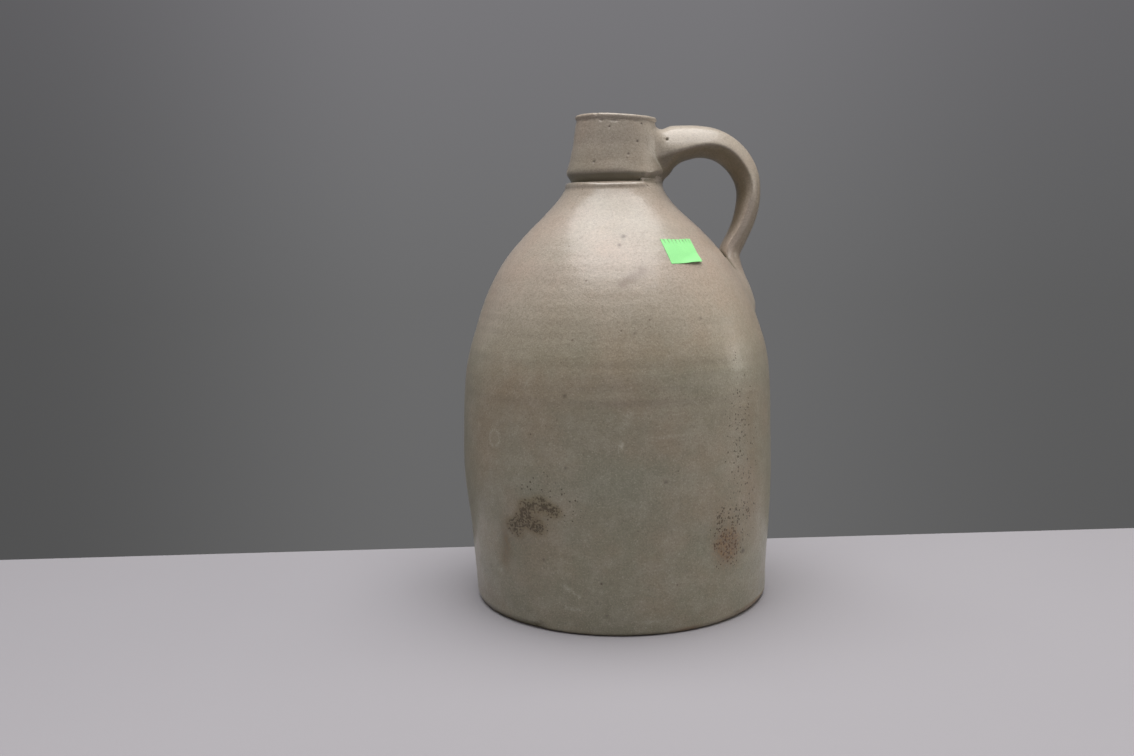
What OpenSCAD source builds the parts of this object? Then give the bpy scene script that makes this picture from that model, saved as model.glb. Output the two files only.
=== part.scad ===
// Stoneware jug: a thrown body, a domed shoulder luted to its rim, a tall
// spout collar on the neck, and a pulled strap handle.
// The origin is the centre of the flat foot. +Z is up and the handle is
// towards +X. All lengths are in millimetres.

/* [Body] */
// Widest diameter of the body
body_d = 180; // [172:1:190]
// Diameter of the flat foot
foot_d = 169; // [160:1:171]
// Height of the luted seam between body and shoulder
seam_h = 144; // [138:1:150]
// Thickness of the thrown wall
wall = 6.5; // [5:0.5:7.5]
// Thickness of the floor
floor_t = 9; // [7:0.5:12]
// Radius of the bend between floor and wall inside
floor_bend = 14; // [8:1:20]

/* [Shoulder and neck] */
// Height of the groove under the spout collar
neck_h = 240; // [236:1:246]
// Diameter of the neck at that groove
neck_d = 52; // [50:1:56]
// Outside diameter of the neck stub that stands inside the collar
stub_d = 43; // [41:0.5:44]
// Height of the neck stub
stub_h = 11; // [8:1:14]

/* [Spout collar] */
// Height of the collar above the groove
collar_h = 37; // [34:1:40]
// Diameter of the collar at its rounded lower edge
collar_d = 54.8; // [54:0.2:58]
// Diameter of the collar at the rim
rim_d = 45.6; // [44:0.2:48]
// Diameter of the mouth bore
mouth_d = 29; // [26:0.5:30]

/* [Handle] */
// Distance from the jug's axis to the outside of the handle
handle_reach = 87; // [82:1:92]
// Height of the top of the handle
handle_top = 270.5; // [267:0.5:273]
// Width of the strap
strap_w = 28; // [22:1:32]
// Thickness of the strap at the middle of the arch
strap_t = 15; // [12:0.5:17]

/* [Slip lining] */
// Thickness of the slip that lines the inside
lining_t = 0.6; // [0.4:0.1:1]

/* [Lot label] */
// Width of the paper label
label_w = 20; // [14:1:24]
// Height of the paper label
label_h = 16.5; // [12:0.5:20]
// Thickness of the paper label
label_t = 0.3; // [0.2:0.1:0.5]

/* [Hidden] */

body_r = body_d / 2;
foot_r = foot_d / 2;
neck_r = neck_d / 2;
seam_r = body_r - 4.3;
stub_r = stub_d / 2;
mouth_r = mouth_d / 2;
rim_r = rim_d / 2;
bulge_r = collar_d / 2;
top_z = neck_h + collar_h;
stub_z = neck_h + stub_h;
round_fn = 96;

// ---- curves -------------------------------------------------------------

// A point and the outward unit normal of a cubic curve in the r-z plane.
function bez(p, t) = pow(1 - t, 3) * p[0] + 3 * t * pow(1 - t, 2) * p[1]
    + 3 * t * t * (1 - t) * p[2] + pow(t, 3) * p[3];
function bez_d(p, t) = 3 * pow(1 - t, 2) * (p[1] - p[0])
    + 6 * t * (1 - t) * (p[2] - p[1]) + 3 * t * t * (p[3] - p[2]);
function bez_n(p, t) = let (d = bez_d(p, t)) [d[1], -d[0]] / norm(d);
// The same curve moved inwards by w, measured square to the wall.
function inset(p, t, w) = bez(p, t) - w * bez_n(p, t);
function backwards(v) = [for (i = [len(v) - 1 : -1 : 0]) v[i]];

// Outside of the body and of the shoulder, from below upwards.
body_c = [[foot_r, 0], [foot_r + 4, 0.375 * seam_h],
          [body_r + 3.65, 0.675 * seam_h], [seam_r, seam_h]];
shoulder_c = [[seam_r, seam_h],
              [seam_r - 12.4, seam_h + 0.62 * (neck_h - seam_h)],
              [neck_r + 10.4, neck_h - 0.245 * (neck_h - seam_h)],
              [neck_r, neck_h]];
body_steps = 18;
shoulder_steps = 26;
// The seam is a cone: its inner edge stands higher than its outer edge.
seam_i = 1;

function body_out() = concat([[foot_r - 1.1, 0]],
    [for (i = [0 : body_steps]) bez(body_c, 0.012 + 0.988 * i / body_steps)]);
function shoulder_out(first = 0) =
    [for (i = [first : shoulder_steps]) bez(shoulder_c, i / shoulder_steps)];

// Inside of the body, a distance w within the outside, from the floor's
// middle to the seam.
function body_in(w, fl, bend) = let (
        z0 = fl + bend,
        wall_pts = [for (i = [0 : body_steps]) let (q = inset(body_c, i / body_steps, w))
                    if (q[1] > z0 + 3) q],
        r0 = wall_pts[0][0] - 0.3)
    concat([[0, fl]],
           [for (a = [0 : 15 : 90]) [r0 - bend + bend * sin(a), fl + bend - bend * cos(a)]],
           wall_pts);
function shoulder_in(w, first, last) =
    [for (i = [first : last]) inset(shoulder_c, i / shoulder_steps, w)];
// Inside of the throat, from the shoulder up to the top of the neck stub.
throat_r = stub_r - 5;
function throat(w) = [[throat_r + wall - w, stub_z]];
throat_last = shoulder_steps - 1;

// ---- thrown pieces ------------------------------------------------------

module turned(pts) {
    rotate_extrude($fn = round_fn) polygon(pts);
}

module lower_body() {
    color([0.50, 0.48, 0.42])
        turned(concat([[0, 0]], body_out(),
                      backwards(concat(body_in(wall, floor_t, floor_bend),
                                       shoulder_in(wall, 1, seam_i)))));
}

module shoulder_cap() {
    color([0.66, 0.61, 0.55])
        turned(concat(shoulder_out(),
                      [[stub_r, neck_h], [stub_r, stub_z]],
                      backwards(concat(shoulder_in(wall, seam_i, throat_last),
                                       throat(wall)))));
}

// Outside of the collar: a short undercut, the rounded lower edge, a slanted
// wall, and a thin lip at the rim.
collar_c = [[bulge_r, neck_h + 6.5], [bulge_r - 1.5, neck_h + 14],
            [rim_r + 0.2, neck_h + 20], [rim_r - 0.2, top_z - 4.6]];
function collar_out() = concat(
    [[neck_r - 1, neck_h], [neck_r - 1.1, neck_h + 1],
     [neck_r - 0.2, neck_h + 3], [bulge_r - 0.5, neck_h + 4.8]],
    [for (i = [0 : 8]) bez(collar_c, i / 8)],
    [[rim_r, top_z - 3.4], [rim_r + 0.1, top_z - 2.4], [rim_r - 0.2, top_z - 1.2],
     [rim_r - 1.1, top_z - 0.3], [rim_r - 2.4, top_z]]);
// The lip rolls over into the bore on a quarter circle.
roll = 4;
function collar_mouth() =
    [for (a = [0 : 18 : 90]) [mouth_r + roll - roll * sin(a), top_z - roll + roll * cos(a)]];

module spout_collar() {
    color([0.60, 0.57, 0.52])
        turned(concat([[stub_r, neck_h]], collar_out(), collar_mouth(),
                      [[mouth_r, stub_z], [stub_r, stub_z]]));
}

// Everything that the handle is set against: collar, neck and shoulder as one
// filled shape.
module core() {
    turned(concat([[0, seam_h - 20], [seam_r - 2, seam_h - 20]], shoulder_out(),
                  collar_out(), [[0, top_z]]));
}

// ---- handle -------------------------------------------------------------

// Middle line of the strap in the x-z plane: out of the collar, over the
// arch, and down on to the shoulder.
mid_r = handle_reach - 7.3;
mid_t = handle_top - 9;
strap_line = [[20, mid_t - 5.5], [32, mid_t - 3], [45, mid_t], [57, mid_t - 0.5],
              [67, mid_t - 5], [mid_r - 4.5, mid_t - 13], [mid_r - 0.4, mid_t - 24.5],
              [mid_r - 0.2, mid_t - 36], [mid_r - 3, mid_t - 47.5],
              [mid_r - 8, mid_t - 57.5], [mid_r - 13, mid_t - 66], [62, mid_t - 74]];
// Thickness and width of the strap at those points, as parts of strap_t and
// strap_w. The strap is thickest at the collar, as it was pulled.
strap_thick = [1.42, 1.36, 1.28, 1.18, 1.08, 1, 0.94, 0.88, 0.84, 0.8, 0.78, 0.76];
strap_wide = [1.1, 1.06, 1.03, 1, 0.98, 0.96, 0.95, 0.95, 0.96, 1, 1.05, 1.1];

// A value read from list v at place u, with smooth joins between its points.
function at(v, i) = v[max(0, min(len(v) - 1, i))];
function smooth(v, u) = let (
        i = min(len(v) - 2, floor(u)), t = u - i,
        a = at(v, i - 1), b = at(v, i), c = at(v, i + 1), d = at(v, i + 2))
    0.5 * (2 * b + (c - a) * t + (2 * a - 5 * b + 4 * c - d) * t * t
           + (3 * b - a - 3 * c + d) * pow(t, 3));

// Rounded cross-section with k sides, w wide along Y and t thick along the
// normal n, at the point c of the x-z plane.
function soft(v, e) = sign(v) * pow(abs(v), e);
function section(c, n, w, t, k) = [for (j = [0 : k - 1]) let (
        a = 360 * j / k, s = t / 2 * soft(sin(a), 0.85))
    [c[0] + n[0] * s, w / 2 * soft(cos(a), 0.85), c[1] + n[1] * s]];

// A solid through a list of such sections.
module through(rings) {
    k = len(rings[0]);
    m = len(rings);
    polyhedron(
        points = [for (r = rings) each r],
        faces = concat(
            [[for (j = [0 : k - 1]) j]],
            [for (i = [0 : m - 2], j = [0 : k - 1])
                each [[i * k + j, (i + 1) * k + j, i * k + (j + 1) % k],
                      [i * k + (j + 1) % k, (i + 1) * k + j, (i + 1) * k + (j + 1) % k]]],
            [[for (j = [k - 1 : -1 : 0]) (m - 1) * k + j]]),
        convexity = 6);
}

function line_n(v, u) = let (d = smooth(v, min(len(v) - 1, u + 0.05)) - smooth(v, max(0, u - 0.05)))
    [-d[1], d[0]] / norm(d);

strap_rings = 33;
strap_sides = 16;
function strap_ring(u, grow) = section(smooth(strap_line, u), line_n(strap_line, u),
    strap_w * smooth(strap_wide, u) + grow, strap_t * smooth(strap_thick, u) + grow, strap_sides);

module strap_solid() {
    last = len(strap_line) - 1;
    through([for (i = [0 : strap_rings]) strap_ring(last * i / strap_rings, 0)]);
}

module handle_strap() {
    color([0.58, 0.55, 0.49])
        difference() {
            strap_solid();
            core();
        }
}

// Wad of soft clay smeared round the root of the handle, wider where it
// meets the collar.
luting_grow = [10, 8, 5.6, 3.8, 2.5, 1.5, 0.8];
module handle_upper_luting() {
    color([0.56, 0.54, 0.49])
        difference() {
            through([for (i = [0 : len(luting_grow) - 1])
                     let (u = 0.33 * i, c = smooth(strap_line, u))
                     section(c - [0, 0.16 * luting_grow[i]], line_n(strap_line, u),
                         strap_w * smooth(strap_wide, u) + luting_grow[i],
                         strap_t * smooth(strap_thick, u) + 0.7 * luting_grow[i], strap_sides)]);
            strap_solid();
            core();
        }
}

// Flattened end of the strap, pressed down along the shoulder into a tail.
// Each section lies on the shoulder's outside at the place pad_at.
pad_at = [0.47, 0.44, 0.4, 0.35, 0.3, 0.25, 0.2, 0.16, 0.13];
pad_w = [20, 30, 36, 38, 37, 34, 29, 21, 10];
pad_t = [7, 11, 13, 13, 12, 10.5, 8.5, 6, 2.5];
module handle_lower_pad() {
    color([0.60, 0.56, 0.50])
        difference() {
            through([for (i = [0 : len(pad_at) - 1])
                     section(bez(shoulder_c, pad_at[i]), bez_n(shoulder_c, pad_at[i]),
                         pad_w[i], pad_t[i], strap_sides)]);
            strap_solid();
            core();
        }
}

// ---- lining and label ---------------------------------------------------

function lining_side(w, fl, bend) = concat(body_in(w, fl, bend),
    shoulder_in(w, 1, throat_last), throat(w));

module slip_lining() {
    color([0.24, 0.13, 0.08])
        turned(concat(lining_side(wall, floor_t, floor_bend),
                      backwards(lining_side(wall + lining_t, floor_t + lining_t,
                                            floor_bend - lining_t))));
}

// Blank paper label, stuck on the shoulder to the right of the middle when
// the handle is at the right.
label_turn = -64;
label_place = 0.44;
module lot_label() {
    p = bez(shoulder_c, label_place);
    n = bez_n(shoulder_c, label_place);
    color([0.30, 0.95, 0.32])
        intersection() {
            turned(concat([for (i = [8 : shoulder_steps - 1]) bez(shoulder_c, i / shoulder_steps)],
                          backwards([for (i = [8 : shoulder_steps - 1])
                                     inset(shoulder_c, i / shoulder_steps, -label_t)])));
            rotate([0, 0, label_turn]) translate([p[0], 0, p[1]])
                rotate([0, -atan2(n[1], n[0]), 0])
                    cube([12, label_w, label_h], center = true);
        }
}

lower_body();
shoulder_cap();
spout_collar();
handle_strap();
handle_upper_luting();
handle_lower_pad();
slip_lining();
lot_label();
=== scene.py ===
# Looks of the stoneware jug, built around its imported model.
# Lengths are in millimetres while a mesh is computed and in metres once it is
# made. The origin is the centre of the foot, +Z is up, the handle is at +X.
import math

import bpy
import numpy as np
from mathutils import Matrix


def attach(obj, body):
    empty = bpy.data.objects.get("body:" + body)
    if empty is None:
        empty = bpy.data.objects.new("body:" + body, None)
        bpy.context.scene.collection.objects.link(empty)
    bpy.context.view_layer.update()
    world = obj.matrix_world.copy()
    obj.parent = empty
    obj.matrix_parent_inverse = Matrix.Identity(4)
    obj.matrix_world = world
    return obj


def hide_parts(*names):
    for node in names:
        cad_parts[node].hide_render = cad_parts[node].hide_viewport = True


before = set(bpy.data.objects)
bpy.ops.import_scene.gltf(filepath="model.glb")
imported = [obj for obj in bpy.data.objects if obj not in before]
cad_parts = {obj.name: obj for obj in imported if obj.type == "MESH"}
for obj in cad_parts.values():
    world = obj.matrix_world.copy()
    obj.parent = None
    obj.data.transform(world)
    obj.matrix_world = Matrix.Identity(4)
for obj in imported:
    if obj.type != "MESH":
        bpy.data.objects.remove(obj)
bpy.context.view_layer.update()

# ---------------------------------------------------------------- camera
# The picture's camera, found from the ellipse of the foot: 35 mm lens on a
# 36 mm frame, 0.64 m away, a little above the middle of the jug. The handle
# points TURN behind the picture's right-hand side.
TURN = math.radians(8.0)
scene = bpy.context.scene
cam = bpy.data.objects.new("view", bpy.data.cameras.new("view"))
scene.collection.objects.link(cam)
cam.data.sensor_width = 36.0
cam.data.lens = 1100.0 / 1134.0 * 36.0
cam.data.clip_start = 0.01
cam.data.clip_end = 50.0
PICTURE = Matrix.Rotation(-TURN, 4, "Z")
cam.matrix_world = (
    PICTURE
    @ Matrix.Translation((-0.0291, -0.6406, 0.2117))
    @ Matrix.Rotation(math.radians(90.0 - 7.54), 4, "X")
    @ Matrix.Rotation(math.radians(-1.09), 4, "Z")
)
scene.camera = cam
scene.view_settings.view_transform = "Standard"

# ---------------------------------------------------------------- helpers


def smooth01(x):
    x = np.clip(x, 0.0, 1.0)
    return x * x * (3.0 - 2.0 * x)


def step(a, b, x):
    """0 at a, 1 at b, smooth between."""
    return smooth01((np.asarray(x, float) - a) / (b - a))


def bump(x, middle, width):
    """A soft hump, 1 at the middle and near 0 two widths away."""
    return np.exp(-(((np.asarray(x, float) - middle) / width) ** 2))


def hermite(knots, x):
    """A smooth curve through the knots [(x, y), ...] without overshoot."""
    k = np.array(knots, float)
    kx, ky = k[:, 0], k[:, 1]
    d = np.diff(ky) / np.diff(kx)
    m = np.concatenate([[d[0]], np.zeros(len(d) - 1), [d[-1]]])
    for i in range(1, len(kx) - 1):
        if d[i - 1] * d[i] > 0:
            m[i] = 2 * d[i - 1] * d[i] / (d[i - 1] + d[i])
    x = np.clip(np.asarray(x, float), kx[0], kx[-1])
    i = np.clip(np.searchsorted(kx, x, side="right") - 1, 0, len(kx) - 2)
    h = kx[i + 1] - kx[i]
    t = (x - kx[i]) / h
    return (
        (2 * t**3 - 3 * t**2 + 1) * ky[i]
        + (t**3 - 2 * t**2 + t) * h * m[i]
        + (-2 * t**3 + 3 * t**2) * ky[i + 1]
        + (t**3 - t**2) * h * m[i + 1]
    )


_tables = {}


def perlin(p, seed=0):
    """Gradient noise at the points p (n, 3), about -0.8 to 0.8."""
    if seed not in _tables:
        rng = np.random.RandomState(1000 + seed)
        g = rng.normal(size=(256, 3))
        g /= np.linalg.norm(g, axis=1)[:, None]
        _tables[seed] = (rng.permutation(256), g)
    perm, g = _tables[seed]
    shape = p.shape[:-1]
    p = p.reshape(-1, 3)
    i = np.floor(p).astype(np.int64)
    f = p - i
    u = f * f * f * (f * (f * 6 - 15) + 10)
    out = np.zeros(len(p))
    for dx in (0, 1):
        for dy in (0, 1):
            for dz in (0, 1):
                h = perm[(perm[(perm[(i[:, 0] + dx) & 255] + i[:, 1] + dy) & 255]
                          + i[:, 2] + dz) & 255]
                d = f - np.array([dx, dy, dz], float)
                w = (
                    (u[:, 0] if dx else 1 - u[:, 0])
                    * (u[:, 1] if dy else 1 - u[:, 1])
                    * (u[:, 2] if dz else 1 - u[:, 2])
                )
                out += w * np.einsum("ij,ij->i", g[h], d)
    return out.reshape(shape)


def gap(a, b):
    """Difference of two angles in degrees, from -180 to 180."""
    return (np.asarray(a, float) - b + 180.0) % 360.0 - 180.0


def bez(p, t):
    p = np.array(p, float)
    t = np.asarray(t, float)[:, None]
    return (
        (1 - t) ** 3 * p[0]
        + 3 * t * (1 - t) ** 2 * p[1]
        + 3 * t * t * (1 - t) * p[2]
        + t**3 * p[3]
    )


def lengths(p):
    return np.concatenate([[0], np.cumsum(np.hypot(*np.diff(p, axis=0).T))])


def even(p, spacing):
    """Points spaced evenly along a polyline in the r-z plane."""
    s = lengths(p)
    u = np.linspace(0, s[-1], max(2, int(round(s[-1] / spacing)) + 1))
    return np.stack([np.interp(u, s, p[:, 0]), np.interp(u, s, p[:, 1])], 1)


def outward(p):
    """Normals of an r-z polyline that runs upwards, pointing outwards."""
    d = np.gradient(p, axis=0)
    n = np.stack([d[:, 1], -d[:, 0]], 1)
    return n / np.maximum(np.hypot(*n.T), 1e-9)[:, None]


def rounded(knots, per=14):
    """A smooth polyline through knots in the r-z plane."""
    k = np.array(knots, float)
    out = []
    for i in range(len(k) - 1):
        a, b, c, d = k[max(0, i - 1)], k[i], k[i + 1], k[min(len(k) - 1, i + 2)]
        for t in np.linspace(0, 1, per, endpoint=False):
            out.append(0.5 * (2 * b + (c - a) * t + (2 * a - 5 * b + 4 * c - d) * t * t
                              + (3 * b - a - 3 * c + d) * t**3))
    out.append(k[-1])
    return np.array(out)


# ---------------------------------------------------------------- outline
FOOT_R, BODY_R, SEAM_R, SEAM_Z, NECK_R, NECK_Z = 84.5, 90.0, 85.7, 144.0, 26.0, 240.0
WALL = 6.5
LINING = 0.6
BODY_C = [(FOOT_R, 0), (FOOT_R + 4, 54), (BODY_R + 3.65, 97.2), (SEAM_R, SEAM_Z)]
SHOULDER_C = [(SEAM_R, SEAM_Z), (73.3, 203.52), (36.4, 216.48), (NECK_R, NECK_Z)]

# Departures of the thrown wall from those curves, by height.
TRIM = [(0, 0.3), (10, 0.2), (25, 0.0), (45, -0.15), (60, 0.1), (72, 0.25), (86, 0.1),
        (100, -0.2), (112, -0.1), (125, 0.2), (136, 0.45), (144, 0.2), (150, -0.05),
        (160, -0.3), (170, -0.1), (185, 0.3), (200, 0.7), (212, 0.5), (221, -0.2),
        (230, -0.5), (236, -0.1), (240, 0.0)]
# The thrown axis wanders a little, to the picture's left and right.
WANDER = [(0, 0.5), (30, 0.55), (42, 0.55), (50, 0.35), (60, 0.0), (70, -0.35), (85, -0.55),
          (100, -0.45), (120, -0.15), (130, 0.0), (145, 0.45), (155, 0.6), (165, 0.5),
          (180, 0.1), (200, -0.4), (212, -0.4), (225, -0.6), (232, -0.4), (240, 0.0),
          (247, 0.0), (277, 0.6)]
# The collar leans a little towards the handle too.
LEAN = [(0, 0.0), (247, 0.0), (254, 0.35), (260, 0.6), (266, 0.8), (272, 0.9), (277, 0.9)]

_fine_body = bez(BODY_C, np.linspace(0.0, 1, 900))
_fine_shoulder = bez(SHOULDER_C, np.linspace(0, 1, 900))
_plain_outside = np.concatenate([_fine_body, _fine_shoulder[1:]])
_fine_body[:, 0] += hermite(TRIM, _fine_body[:, 1])
_fine_shoulder[:, 0] += hermite(TRIM, _fine_shoulder[:, 1])


def wall_r(z):
    """Outside radius of the body and the shoulder at height z."""
    return np.interp(z, np.concatenate([_fine_body[:, 1], _fine_shoulder[1:, 1]]),
                     np.concatenate([_fine_body[:, 0], _fine_shoulder[1:, 0]]))


# Collar, from the crease over its rounded lower edge and the slanted wall to
# the lip and over it into the bore.
CREASE = [(23.9, 239.0), (24.3, 239.5), (24.65, 240.3), (25.3, 241.5), (26.2, 242.9), (26.85, 244.1), (27.05, 245.2)]
SMEAR = [(26.6, 234.2), (27.5, 236.1), (26.75, 237.6), (25.65, 239.3), (25.2, 241.1), (25.85, 243.1), (27.05, 245.2)]
SLANT = [(27.05, 245.2), (26.95, 246.2), (26.45, 248.0), (25.8, 250.2), (25.35, 252.2), (24.95, 254.4), (24.5, 257.0), (23.98, 260.2),
         (23.65, 264.0), (23.3, 268.0), (22.9, 271.3), (22.6, 272.9), (22.4, 273.9), (22.45, 274.5),
         (22.8, 274.9), (23.15, 275.4), (23.15, 276.1), (22.75, 276.7), (22.0, 277.0),
         (20.6, 276.9), (18.8, 276.5), (17.0, 275.7), (15.6, 274.3), (14.8, 272.6),
         (14.5, 270.9), (14.5, 266.0), (14.5, 258.0), (14.5, 251.2)]
CREASE_LINE = rounded(CREASE)
SMEAR_LINE = rounded(SMEAR)
SLANT_LINE = rounded(SLANT)


def smeared(az):
    """1 where soft clay fills the crease on the handle's side, by azimuth."""
    a = np.abs(gap(az, 0.0))
    return step(62.5, 56.5, a)


# ---------------------------------------------------------------- strap
# Middle line of the strap in the x-z plane, with thickness and width. It
# starts inside the collar, arches over and lies down along the shoulder.
ARCH = [
    (17.0, 254.2, 36.0, 31.0), (23.5, 255.8, 31.6, 32.5), (29.5, 258.5, 25.6, 32.0),
    (35.4, 260.4, 21.6, 31.0), (41.9, 261.5, 19.6, 29.5), (49.0, 262.0, 18.2, 28.5),
    (57.0, 261.0, 17.4, 27.0), (64.9, 257.7, 16.6, 26.0), (72.0, 251.9, 16.1, 25.0),
    (77.2, 244.1, 15.3, 24.5), (79.8, 235.1, 13.8, 24.5), (79.8, 226.0, 13.8, 24.5),
    (77.1, 216.2, 12.9, 24.5), (73.0, 207.0, 12.2, 25.5)]
# Along the tail: height, how far the middle stands off the shoulder, and the
# thickness and width.
TAIL = [(198.2, 6.8, 12.6, 29.0), (190.8, 1.9, 13.0, 32.5), (183.5, 0.1, 12.0, 36.0),
        (175.5, -0.9, 11.4, 37.5), (169.0, -1.2, 10.4, 36.0), (165.0, -1.9, 8.6, 31.0),
        (162.2, -2.9, 5.0, 24.0), (160.0, -3.6, 2.4, 14.0)]
STRAP = np.array(ARCH + [(float(wall_r(z)) + off, z, t, w) for z, off, t, w in TAIL])


def strap_fine(n=900):
    k = STRAP
    u = np.linspace(0, len(k) - 1, n)
    i = np.clip(np.floor(u).astype(int), 0, len(k) - 2)
    t = (u - i)[:, None]
    a, b = k[np.clip(i - 1, 0, None)], k[i]
    c, d = k[i + 1], k[np.clip(i + 2, None, len(k) - 1)]
    p = 0.5 * (2 * b + (c - a) * t + (2 * a - 5 * b + 4 * c - d) * t * t
               + (3 * b - a - 3 * c + d) * t**3)
    s = lengths(p[:, :2])
    q = np.linspace(0, s[-1], n)
    p = np.stack([np.interp(q, s, p[:, j]) for j in range(4)], 1)
    g = np.gradient(p[:, :2], axis=0)
    g /= np.hypot(*g.T)[:, None]
    return p, g, q


SP, SG, SS = strap_fine()
SN = np.stack([-SG[:, 1], SG[:, 0]], 1)  # towards the outside of the arch
STRAP_LEN = SS[-1]
# How far the strap's outer face is turned towards the picture, in degrees, by
# place along it.
TWIST = [(0, 4), (8, 9), (16, 13), (20, 13.5), (25, 12.5), (31, 10.5), (38, 7), (50, 3), (72, 4), (79, 6), (88, 14), (100, 18), (111, 20), (119, 16), (128, 7), (138, 0)]


def section(y, s, a, b):
    """1 on the outline of the strap's cross-section, less inside and more
    outside: domed outside and inside with a ridge along each edge, or an oval
    where the strap is thick."""
    y, s = np.abs(y / a) + 1e-9, np.abs(s / b) + 1e-9
    s = np.hypot(s, (0.04 + 0.28 * step(0.66, 1.0, b / a)) * y)
    w = step(1.25, 1.02, b / a)
    e = 2.2 * (1 - w) + (1.36 + 0.75 * (s / (s + y)) ** 2) * w
    return (y**e + s**e) ** (1 / e)


def turned_in(y, s, place):
    """Coordinates within the twisted cross-section."""
    a = np.radians(hermite(TWIST, place))
    return y * np.cos(a) + s * np.sin(a), s * np.cos(a) - y * np.sin(a)


def turned_out(y, s, place):
    a = np.radians(hermite(TWIST, place))
    return y * np.cos(a) - s * np.sin(a), s * np.cos(a) + y * np.sin(a)


def curl(place):
    """How much the strap's cross-section bends round the shoulder."""
    return step(STRAP_LEN - 62, STRAP_LEN - 40, place) / 150.0


# Both fields are kept on grids in the x-z or r-z plane, one value every CELL.
CELL = 0.4
GX, GZ = np.arange(0, 112, CELL), np.arange(120, 292, CELL)


def _make_grids():
    x, z = np.meshgrid(GX, GZ, indexing="ij")
    q = np.stack([x.ravel(), z.ravel()], 1)
    s, place, over = (np.zeros(len(q)) for _ in range(3))
    for part in np.array_split(np.arange(len(q)), 40):
        d = (q[part, None, :] - SP[None, :, :2])
        k = np.argmin((d**2).sum(2), axis=1)
        rel = q[part] - SP[k, :2]
        s[part] = (rel * SN[k]).sum(1)
        place[part] = SS[k] + (rel * SG[k]).sum(1)
        over[part] = np.where((k == 0) | (k == len(SP) - 1), np.abs((rel * SG[k]).sum(1)), 0)
    shape = x.shape
    line = np.concatenate([_fine_body[450::6], _fine_shoulder[_fine_shoulder[:, 1] < 236.0][::4], SMEAR_LINE[15:],
                           SLANT_LINE[4:int(np.argmax(SLANT_LINE[:, 0] < 16.0))][::2]])
    n = outward(line)
    dist = np.zeros(len(q))
    for part in np.array_split(np.arange(len(q)), 40):
        d = q[part, None, :] - line[None]
        dd = (d**2).sum(2)
        k = np.argmin(dd, axis=1)
        rel = q[part] - line[k]
        side = (rel * n[k]).sum(1)
        far = np.sqrt(dd[np.arange(len(k)), k])
        dist[part] = np.where(far < 1.2, side, np.sign(side) * far)
    return s.reshape(shape), np.clip(place, 0, STRAP_LEN).reshape(shape), over.reshape(shape), dist.reshape(shape)


G_S, G_PLACE, G_OVER, G_JUG = _make_grids()


def lookup(grid, x, z):
    u = np.clip((x - GX[0]) / CELL, 0, len(GX) - 1.001)
    v = np.clip((z - GZ[0]) / CELL, 0, len(GZ) - 1.001)
    i, j = u.astype(int), v.astype(int)
    a, b = u - i, v - j
    return (grid[i, j] * (1 - a) * (1 - b) + grid[i + 1, j] * a * (1 - b)
            + grid[i, j + 1] * (1 - a) * b + grid[i + 1, j + 1] * a * b)


def strap_field(p):
    """About the distance from points p to the strap, and the place along it."""
    x, y, z = p[..., 0], p[..., 1], p[..., 2]
    s = lookup(G_S, x, z)
    place = lookup(G_PLACE, x, z)
    over = lookup(G_OVER, x, z)
    t = np.interp(place, SS, SP[:, 2]) / 2
    w = np.interp(place, SS, SP[:, 3]) / 2
    s = s + y * y * curl(place)
    y, s = turned_in(y, s, place)
    rho = np.maximum(section(y, s, w, t), 1e-6)
    d = np.hypot(y, s) * (rho - 1) / rho
    d = np.where(rho < 1, np.maximum(d, -np.minimum(t, w) * (1 - rho)), d)
    d = np.where(over > 0.5, np.hypot(np.maximum(d, 0), over - 0.5), d)
    outside = (x < -2) | (z < 130)
    return np.where(outside, 200.0, d), place


def jug_field(p):
    return lookup(G_JUG, np.hypot(p[..., 0], p[..., 1]), p[..., 2])


def soft(p):
    """Size of the soft corner between strap and jug at points p, in mm."""
    return hermite([(130, 6.0), (166, 6.0), (178, 7.0), (186, 5.0), (193, 1.2), (212, 1.2),
                    (226, 4.0), (236, 8.0), (244, 6.0), (250, 4.0), (256, 5.0), (262, 8.0), (267, 9.0),
                    (271, 5.0), (274, 2.0), (277, 1.0)],
                   p[..., 2])


def union(p):
    dj = jug_field(p)
    ds, _ = strap_field(p)
    k = soft(p)
    h = np.clip(0.5 + 0.5 * (ds - dj) / k, 0, 1)
    return ds * (1 - h) + dj * h - k * h * (1 - h), dj, ds


def run_together(p, n, own):
    """Moves points of one surface along n on to the run together surface, and
    sinks those that the other piece covers. own is "jug" or "strap"."""
    shape = p.shape
    p, n = p.reshape(-1, 3), n.reshape(-1, 3)
    _, dj, ds = union(p)
    other = ds if own == "jug" else dj
    top_of_lip = (p[:, 2] > 262.0) & (np.hypot(p[:, 0], p[:, 1]) < 21.9)
    todo = np.flatnonzero((other < 14) & (p[:, 2] > 150) & ~top_of_lip)
    q, m = p[todo], n[todo]
    h = np.zeros(len(todo))
    # The underside of the thick root is drawn in too.
    lowest = np.where((own == "strap") & (q[:, 0] < 44) & (q[:, 2] < 252), -8.0, -0.4)
    for _ in range(20):
        f = union(q + m * h[:, None])[0]
        h = np.clip(h - 0.7 * f, lowest, 7.0)
    _, dj, ds = union(q + m * h[:, None])
    past = (dj - ds) if own == "jug" else (ds - dj)
    deep = np.clip(past, 0, None)
    sink = np.minimum(0.22 * deep * deep, 0.9)
    keep = step(3.2, 1.2, deep)
    out = p.copy()
    out[todo] = q + m * (h * keep - sink)[:, None]
    return out.reshape(shape)


# ---------------------------------------------------------------- unevenness


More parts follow.
